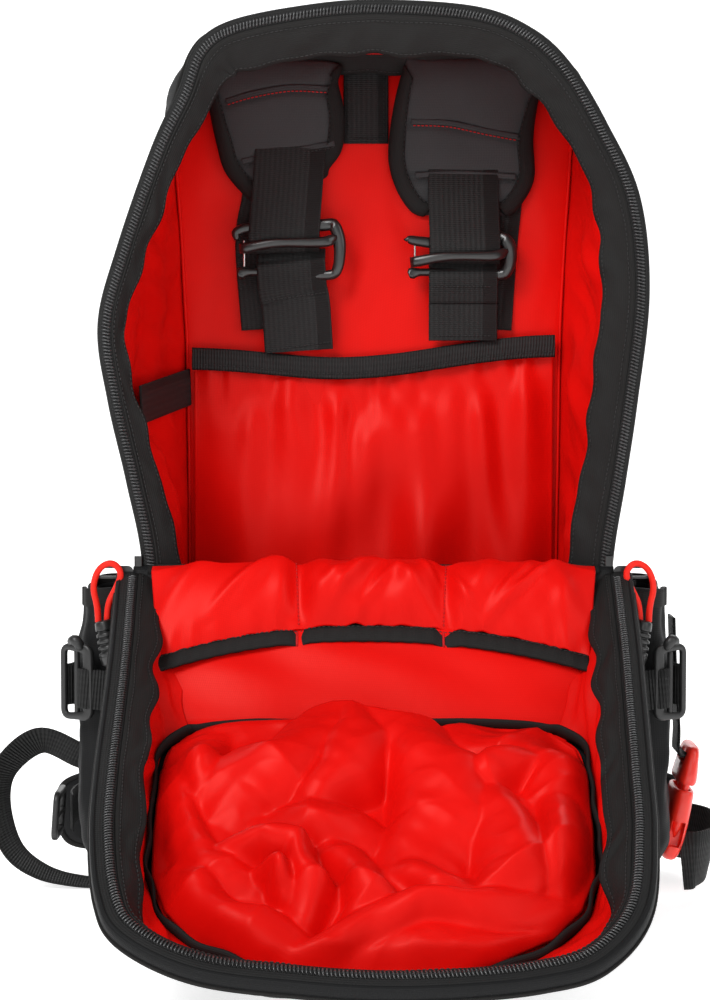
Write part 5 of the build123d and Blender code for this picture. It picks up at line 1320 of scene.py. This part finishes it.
pullShape = {
    # the cord's own points, in metres, mirrored for the other side
    "route": [(0.172, -0.047, 0.187), (0.172, -0.047, 0.196), (0.1755, -0.0476, 0.209), (0.171, -0.0515, 0.2215),
              (0.162, -0.0532, 0.2255),
              (0.156, -0.0522, 0.218), (0.1605, -0.053, 0.208), (0.1664, -0.047, 0.1975), (0.1664, -0.047, 0.187)],
    "diameter": 0.004, "gripTop": (169, -47, 188), "gripEnd": (162, -49, 159),
}


def makePull(side, sign):
    curve = bpy.data.curves.new(side + "PullCord", "CURVE")
    curve.dimensions = "3D"
    spline = curve.splines.new("NURBS")
    spline.points.add(len(pullShape["route"]) - 1)
    for point, (x, y, z) in zip(spline.points, pullShape["route"]):
        point.co = (sign * x, y, z, 1)
    spline.order_u = 3
    spline.use_endpoint_u = True
    spline.resolution_u = 16
    curve.bevel_depth = pullShape["diameter"] / 2
    curve.bevel_resolution = 4
    cord = bpy.data.objects.new(side + "PullCord", curve)
    bpy.context.scene.collection.objects.link(cord)
    dress(cord, "cord", f"pull_{side}", "cord_red", f"pull_cord_{side}")
    # ribbed rubber grip: a turned shape along a leaning axis
    top, end = np.array(pullShape["gripTop"], float), np.array(pullShape["gripEnd"], float)
    top[0], end[0] = sign * top[0], sign * end[0]
    t = np.linspace(0, 1, 120)
    size = np.interp(t, [0, 0.03, 0.1, 0.75, 0.92, 1], [4.2, 5.4, 5.8, 7.4, 6.8, 2.5])
    rib = 0.5 + 0.5 * np.cos(tau * (t - 0.1) * 7.5)
    size = size - 1.5 * rib**3 * (t > 0.14) * (t < 0.74)
    spine = top + (end - top) * t[:, None]
    grip = dress(roundTube(side + "PullGrip", spine, size, 24), "rubber", f"pull_{side}", "plastic_black",
                 f"pull_grip_{side}")
    x, y, z = pullShape["route"][0]


def plateRings(centre, halfSizes, zValues, power=3.2, count=40):
    # stack of superellipse outlines: |x/a|^p + |y/b|^p = 1 at each height
    ux, uy = squircle(count, 2 / power, 2 / power)
    rows = [np.stack([centre[0] + a * ux, centre[1] + b * uy, np.full(count, z)], 1) for z,
            (a, b) in zip(zValues, halfSizes)]
    return np.stack(rows)


def carve(obj, tool):
    cut = obj.modifiers.new("cut", "BOOLEAN")
    cut.operation = "DIFFERENCE"
    cut.solver = "EXACT"
    cut.object = tool
    depsgraph = bpy.context.evaluated_depsgraph_get()
    mesh = bpy.data.meshes.new_from_object(obj.evaluated_get(depsgraph))
    obj.modifiers.clear()
    obj.data = mesh
    bpy.data.objects.remove(tool)


buckleShape = {"x": 200, "y": 22, "bottom": 24, "lean": 12}


def leaned(points):
    # turns the buckle about its own middle so that its top stands further out
    angle = math.radians(buckleShape["lean"])
    p = np.array(points, float) - [buckleShape["x"], 0, 60]
    x = p[..., 0] * math.cos(angle) + p[..., 2] * math.sin(angle)
    z = -p[..., 0] * math.sin(angle) + p[..., 2] * math.cos(angle)
    return np.stack([x + buckleShape["x"], p[..., 1], z + 60], -1)


def makeBuckle():
    x, y, z0 = buckleShape["x"], buckleShape["y"], buckleShape["bottom"]
    z = np.array([0, 0.6, 2, 4.5, 9, 16, 26, 38, 45, 47.2, 48])
    thick = np.array([2.0, 3.4, 4.8, 5.9, 6.8, 7.4, 7.7, 7.4, 7.1, 6.8, 6.2])
    wide = np.array([9, 13, 16, 18, 20, 22, 23, 22.5, 22, 21.6, 21])
    shell = closedPiece("buckleBody", leaned(plateRings((x, y), list(zip(thick, wide)), z0 + z)))
    for name, centre, size in (("front", (x, y - 22, z0 + 19), (4.2, 8, 8.5)),
                               ("rear", (x, y + 22, z0 + 19), (4.2, 8, 8.5)),
                               ("mouth", (x, y, z0 + 48), (4.2, 17, 16))):
        rings = plateRings((centre[0], centre[1]), [(size[0], size[1])] * 2,
                           [centre[2] - size[2], centre[2] + size[2]], 8, 24)
        tool = closedPiece(name + "Tool", leaned(rings))
        carve(shell, tool)
    soften(shell, 0.8)
    dress(shell, "redAcetal", "pack", "plastic_red", "buckle_female")
    # raised ribs on the broad face
    for k, offset in enumerate((-5, 0, 5)):
        rib = np.stack([np.linspace(x + 7.4, x + 7.8, 12), np.full(12, y + offset),
                        np.linspace(z0 + 14, z0 + 32, 12)], 1)
        dress(roundTube(f"buckleRib{k}", leaned(rib),
                        np.interp(np.linspace(0, 1, 12), [0, 0.2, 0.8, 1], [0.3, 0.9, 0.9, 0.3]), 8), "redAcetal",
                        "pack", "plastic_red")
    z1 = 76
    z = np.array([0, 1, 3, 8, 14, 20, 23.5, 24.8])
    thick = np.array([5.8, 6.6, 7.0, 6.6, 5.8, 5.0, 4.2, 2.6])
    wide = np.array([21, 22, 22.4, 22, 21, 19.5, 17.5, 14.5])
    male = closedPiece("buckleTop", leaned(plateRings((x, y), list(zip(thick, wide)), z1 + z)))
    slot = closedPiece("slotTool",
                       leaned(np.stack([np.array([[x - 20, y - 16, z1 + 13], [x + 20, y - 16, z1 + 13],
                               [x + 20, y + 16, z1 + 13], [x - 20, y + 16, z1 + 13]], float),
                               np.array([[x - 20, y - 16, z1 + 20], [x + 20, y - 16, z1 + 20],
                                         [x + 20, y + 16, z1 + 20], [x - 20, y + 16, z1 + 20]], float)])))
    carve(male, slot)
    soften(male, 0.7)
    dress(male, "redAcetal", "clip", "plastic_red", "buckle_male")
    core = np.stack([np.full(10, x), np.full(10, y), np.linspace(z1 + 3, z1 - 30, 10)], 1)
    dress(roundTube("buckleTongue", leaned(core), np.interp(np.arange(10), [0, 7, 9], [3.2, 3.0, 2.0]), 12),
          "redAcetal", "clip", "plastic_red")
    for name, direction in (("front", -1), ("rear", 1)):
        t = np.linspace(0, 1, 24)
        spine = np.stack([np.full(24, x), y + direction
                          * (15 + 3.2 * np.sin(math.pi * np.clip(t * 1.3 - 0.3, 0, 1)) - 1.5 * t), z1 + 2 - 38 * t],
                          1)
        size = np.interp(t, [0, 0.55, 0.62, 0.8, 1], [2.6, 2.4, 3.6, 3.2, 0.8])
        dress(roundTube(name + "Prong", leaned(spine), size, 12), "redAcetal", f"prong_{name}", "plastic_red",
              f"buckle_prong_{name}")
    # strap from the buckle up the side
    path = smoothLine([(x + 5.5, y, 97), (x + 4.5, y, 94), (x + 1, y, 93.5), (x - 1.5, y - 0.5, 97),
                       (198.5, y - 2, 112), (196.4, y - 4, 140), (195.2, y - 4, 165), (194.5, y - 4, 184)], 90)
    dress(ribbon("buckleStrap", path, (0, 1, 0), 30, 1.6), "ribbed", "clip", "webbing_black", "buckle_strap")
    tail = smoothLine([(x + 5.8, y, 97.5), (x + 6.5, y, 94), (x + 6.0, y, 88)], 30)
    dress(ribbon("buckleStrapTail", tail, (0, 1, 0), 29, 1.6), "ribbed", "clip", "webbing_black")
    print("buckle made")


def soften(obj, width):
    bevel = obj.modifiers.new("soften", "BEVEL")
    bevel.width = width * mm
    bevel.segments = 3
    bevel.limit_method = "ANGLE"
    bevel.angle_limit = math.radians(40)
    bevel.harden_normals = False


hipShape = {
    "right": [(201, 10, 24), (211, 12, 25), (222, 28, 26), (226, 52, 28), (221, 78, 29), (200, 98, 29),
              (172, 101, 29)],
    "loop": [(-182, 47, 84), (-196, 46, 88), (-222, 45, 98), (-245, 44, 80), (-250, 44, 56), (-241, 44, 26),
             (-222, 45, 10), (-196, 46, 3.0), (-166, 46, 1.9)],
    "fin": [(106, 14), (140, 12), (180, 13), (208, 16), (217, 26), (219, 40), (217, 54), (207, 62), (175, 70),
            (140, 79), (108, 82), (104, 60), (103, 36), (106, 14)],
    "wide": 38, "narrow": 25, "finThickness": 10,
}


def makeHips():
    # right: wide webbing from the buckle round to the fin
    path = smoothLine(hipShape["right"], 110)
    dress(ribbon("hipWebbingRight", path, (0.25, 0.05, 1), hipShape["wide"], 1.9), *packRibbed, "hip_webbing_right")
    # left: from the fin through the glide, round in a loop and along the floor
    path = smoothLine(hipShape["loop"], 140)
    turn = np.radians(np.interp(np.linspace(0, 1, 140), [0, 0.2, 0.4, 0.6, 0.8, 1], [52, 50, 34, 22, 6, 0]))
    forward = tangents(path)
    plane = np.stack([-forward[:, 2], np.zeros(140), forward[:, 0]], 1)
    side = np.cos(turn)[:, None] * np.array([0, 1, 0]) + np.sin(turn)[:, None] * plane
    dress(ribbon("hipWebbingLoop", path, side, hipShape["narrow"], 1.6), "ribbed", "fin_left", "webbing_black",
          "hip_webbing_left")
    path = smoothLine([(-200, 40, 50), (-203, 60, 50), (-200, 86, 50), (-184, 98, 50), (-152, 99.5, 50)], 70)
    dress(ribbon("hipWebbingBand", path, (0, 0, 1), hipShape["narrow"], 1.6), "ribbed", "fin_left", "webbing_black")
    ring = roundedRing([(-211, 30, 36), (-211, 62, 36), (-209, 62, 63), (-209, 30, 63)], 5)
    dress(frameLoop("triGlide", ring, (3.0, 2.2)), "acetal", "fin_left", "plastic_black", "tri_glide")
    bar = np.stack([np.full(16, -210.0), np.linspace(32, 60, 16), np.full(16, 49.5)], 1)
    dress(roundTube("triGlideBar", bar, 2.2, 10), "acetal", "fin_left", "plastic_black")
    for side, sign in (("left", -1), ("right", 1)):
        outline = spans(hipShape["fin"], 8)[:-1]
        ring = np.stack([sign * outline[:, 0], np.full(len(outline), 108.4), outline[:, 1]], 1)
        fin = padForm(side + "HipPad", ring, None, (0, 1, 0), hipShape["finThickness"], crown=0.35, bottom=0.5)
        dress(fin, "nylon", f"fin_{side}", "shell_nylon", f"hip_fin_{side}")
        dress(roundTube(side + "HipPadEdge", evenly(np.concatenate([ring, ring[:1]]), 200)[:-1], 2.2, 8, wrap=True),
              "binding", f"fin_{side}", "webbing_black")


tubShape = {"front": -104, "half": 142, "corner": 16, "top": 216, "slopeFrom": 116, "thickness": 2.4}


def makeTub():
    # U-shaped plan: left rear, left side, front, right side, right rear
    share = np.linspace(0, 1, 150)
    z = np.concatenate([np.linspace(0.4, 8, 5), np.linspace(14, tubShape["top"], 46)])
    wide, corner = tubShape["half"], tubShape["corner"]
    frontY = (tubShape["front"] + np.where(z < tubShape["slopeFrom"], 6 * np.exp(-z / 4.0),
                                           (z - tubShape["slopeFrom"]) * 0.6))
    grow = 1 - 0.06 * np.exp(-z / 5.0)
    rows = []
    for level, front, scale in zip(z, frontY, grow):
        half = [(127, 100), (134, 20), (wide, front + corner), (wide - 1 - corner * 0.3, front + corner * 0.3),
                (wide - corner, front)]
        plan = [(-x, y) for x, y in half] + [(0, front - 3)] + half[::-1]
        line = evenly(spans(plan, 14), 150)
        bulge = 1.6 * waves(share * 5, level / 90 + 0 * share, 91, 8, 0.6, 2.5)
        line = line * np.array([scale, 1]) + np.stack([line[:, 0] / wide * bulge, -bulge * (line[:, 1] < 0)], 1)
        rows.append(np.stack([line[:, 0], line[:, 1], np.full(150, level)], 1))
    grid = np.stack(rows)
    outwards = lambda c: c - np.array([0, 0, 110])
    dress(sheetPiece("tub", grid, outwards, tubShape["thickness"]), *packCloth, "lower_tub")
    base = np.stack([grid[0] * (1 - t) + np.array([0, 100, 0.4]) * t for t in np.linspace(0, 1, 10)[:-1]])
    base[..., 2] = 0.3
    dress(sheetPiece("tubBase", base, (0, 0, -1)), *packCloth)
    dress(roundTube("tubSeam", grid[3] * np.array([1.003, 1.003, 1]), 1.6, 8), *packEdge)
    dress(ribbon("tubHem", evenly(grid[-1], 180), (0, 0, 1), 14, 3.2), *packEdge)
    print("tub made")


def roundedOutline(halfWide, halfHigh, radius, steps=9):
    # rectangle with round corners: four quarter circles joined in a ring, as (x, z)
    rows = []
    for k, (sx, sz) in enumerate(((1, 1), (-1, 1), (-1, -1), (1, -1))):
        turn = np.linspace(k * math.pi / 2, (k + 1) * math.pi / 2, steps)
        rows.append(np.stack([sx * (halfWide - radius) + radius * np.cos(turn), sz * (halfHigh - radius)
                              + radius * np.sin(turn)], 1))
    ring = np.concatenate(rows)
    return evenly(np.concatenate([ring, ring[:1]]), 120)[:-1]


harness = {"x": 66, "top": 534, "bottom": 232, "thickness": 6.4, "webbing": 25,
           "pads": [((-56, 330), (42, 145), 24, 7), ((56, 330), (42, 145), 24, 7), ((0, 95), (70, 60), 28, 12)]}


def makeWearerSide():
    # panel between the side walls, from the floor to the top
    share = np.linspace(0, 1, 60)[None]
    z = np.concatenate([np.linspace(2, 150, 40), np.linspace(156, 553, 110)])[:, None]
    left, right = rearWidth(np.clip(z, 150, 551.5))
    left, right = np.where(z < 150, -126, left) - 5, np.where(z < 150, 126, right) + 5
    x = left * (1 - share) + right * share
    hold = np.sin(math.pi * share) ** 0.5
    y = 99.6 + 1.6 * hold + waves(x / 160, z / 200, 95, 7, 0.5, 2) * 0.7 * hold
    grid = np.stack([x, y + 0 * x, z + 0 * x], -1)
    dress(sheetPiece("wearerPanel", grid, (0, 1, 0), 2.0), "ripstop", "pack", "strap_ripstop", "back_panel")
    ring = evenly(np.concatenate([grid[:, 0], grid[-1], grid[::-1, -1]]), 500)
    dress(roundTube("wearerPanelPiping", ring + [0, 1, 0], 2.4, 10), *packEdge)
    for k, (centre, half, radius, thick) in enumerate(harness["pads"]):
        flat = roundedOutline(*half, radius)
        ring = np.stack([centre[0] + flat[:, 0], np.full(len(flat), 102.0), centre[1] + flat[:, 1]], 1)
        pad = padForm(f"backPad{k}", ring, None, (0, 1, 0), thick + 1.5, rings=12, crown=0.45, bottom=0.05)
        dress(pad, "mesh", "pack", "pad_mesh", *(("back_pads",) if k == 0 else ()))
        dress(roundTube(f"backPadPiping{k}", ring + [0, 0.9, 0], 1.8, 8, wrap=True), *packBinding)
        inner = np.stack([centre[0] + flat[:, 0] * 0.93, np.full(len(flat), 102 + thick * 0.72),
                          centre[1] + flat[:, 1] * 0.96], 1)
        dress(stitches(f"backPadStitch{k}", np.concatenate([inner, inner[:1]]), (0, 1, 0)), *packThread)
    # shoulder straps: curved pads on the arc that they hang in
    for side, sign in (("left", -1), ("right", 1)):
        top, drop = harness["top"], harness["top"] - harness["bottom"]
        z = np.linspace(top, harness["bottom"], 60)
        y = 112 + 44 * np.sin(math.pi * np.clip((top - z) / drop * 0.88 + 0.02, 0, 1)) ** 0.9 + 7 * (top - z) / drop
        spine = np.stack([np.full(60, sign * harness["x"]) + sign * 4 * np.sin(math.pi * (top - z) / drop), y, z], 1)
        width = np.interp(z, [232, 250, 300, 420, 534], [44, 62, 72, 74, 70]) / 2
        forward = tangents(spine)
        across = np.array([1.0, 0, 0])
        out = unit(np.cross(np.tile(across, (60, 1)), forward))
        wideways, outways = squircle(32, 0.55, 0.75)
        rings = (spine[:, None] + across * (wideways[None] * width[:, None])[..., None] + out[:, None]
                 * (outways[None] * harness["thickness"])[..., None])
        strap = closedPiece(side + "ShoulderPad", rings)
        dress(strap, "mesh", "harness", "pad_mesh", *leftOnly(side, "shoulder_straps"))
        for edgeSide, name in ((1, "Outer"), (-1, "Inner")):
            line = spine + across * (edgeSide * (width + 0.4))[:, None]
            dress(roundTube(side + name + "ShoulderBinding", line, 2.6, 8), "binding", "harness", "webbing_black")
        outward = np.where(out[:, 1:2] > 0, out, -out)
        dress(ribbon(side + "ShoulderWebbing", spine + outward * 7.6, across, harness["webbing"], 1.6), "webbing",
              "harness", "webbing_black")
        path = smoothLine([(sign * 70, 136, 238), (sign * 80, 131, 226), (sign * 86, 126, 200),
                           (sign * 88.5, 114, 120), (sign * 88.5, 106, 60), (sign * 88.5, 104.5, 32)], 90)
        dress(ribbon(side + "LowerWebbing", path, (1, 0, 0), harness["webbing"], 1.6), "webbing", "harness",
              "webbing_black", *leftOnly(side, "lower_webbing"))
        buckle = roundedRing([(sign * 70 - 16, 138, 246), (sign * 70 + 16, 138, 246), (sign * 70 + 16, 134, 226),
                              (sign * 70 - 16, 134, 226)], 4)
        dress(frameLoop(side + "StrapAdjuster", buckle, (2.6, 2.2)), "acetal", "harness", "plastic_black")
        path = smoothLine([(sign * 84, 163, 400), (sign * 70, 166, 400), (sign * 45, 167.5, 400),
                           (sign * 20, 167, 400)], 50)
        dress(ribbon(side + "SternumWebbing", path, (0, 0, 1), 20, 1.6), "webbing", "harness", "webbing_black",
              *leftOnly(side, "sternum_strap"))
    x = np.array([-21, -20, -17, -8, -6, 6, 8, 17, 20, 21.0])
    high = np.array([9, 11, 12.5, 13, 12, 12, 13, 12.5, 11, 9.0])
    deep = np.array([2.0, 3.4, 4.2, 4.5, 4.3, 4.3, 4.5, 4.2, 3.4, 2.0])
    c, s = squircle(32, 0.6, 0.6)
    rings = np.stack([np.broadcast_to(x[:, None], (10, 32)), 165.8 + deep[:, None] * c[None],
                      400 + high[:, None] * s[None]], -1)
    clip = closedPiece("sternumBuckle", rings)
    dress(clip, "acetal", "harness", "plastic_black", "sternum_clip")
    # haul handle, the same on both sides of its middle
    half = [(46, 103.5, 540), (45, 104, 556), (38, 104.4, 572), (20, 104.6, 577.5)]
    path = smoothLine([(-x, y, z) for x, y, z in half] + [(0, 104.6, 578)] + half[::-1], 120)
    forward = tangents(path)
    side = np.cross(forward, np.array([0, 1, 0]))
    dress(ribbon("haulHandle", path, side, 11, 3.4), "webbing", "handle", "webbing_black", "haul_handle")
    grip = roundTube("handleGrip", path[34:86] - [0, 0, 0.5],
                     np.interp(np.linspace(0, 1, 52), [0, 0.04, 0.96, 1], [3.0, 4.2, 4.2, 3.0]), 16)
    dress(grip, "rubber", "handle", "webbing_black")
    print("wearer's side made")


def finishFrame():
    kept = {"zipper_slider_left": "hookMetal", "zipper_slider_right": "hookMetal", "pull_tab_left": "hookMetal",
            "pull_tab_right": "hookMetal",
            "hook_gate_left": "steel", "hook_gate_right": "steel", "frame_sheet": "acetal",
            "frame_stays": "aluminium"}
    for name, finish in kept.items():
        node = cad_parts[name]
        node.data.materials.clear()
        node.data.materials.append(finishes[finish])


makeCamera()
makeStudio()
makeSides()
makeMouth()
makeRear()
makeFlap()
makeStraps()
makeHooks()
makeBuckle()
makeHips()
makeTub()
makeWearerSide()
finishFrame()
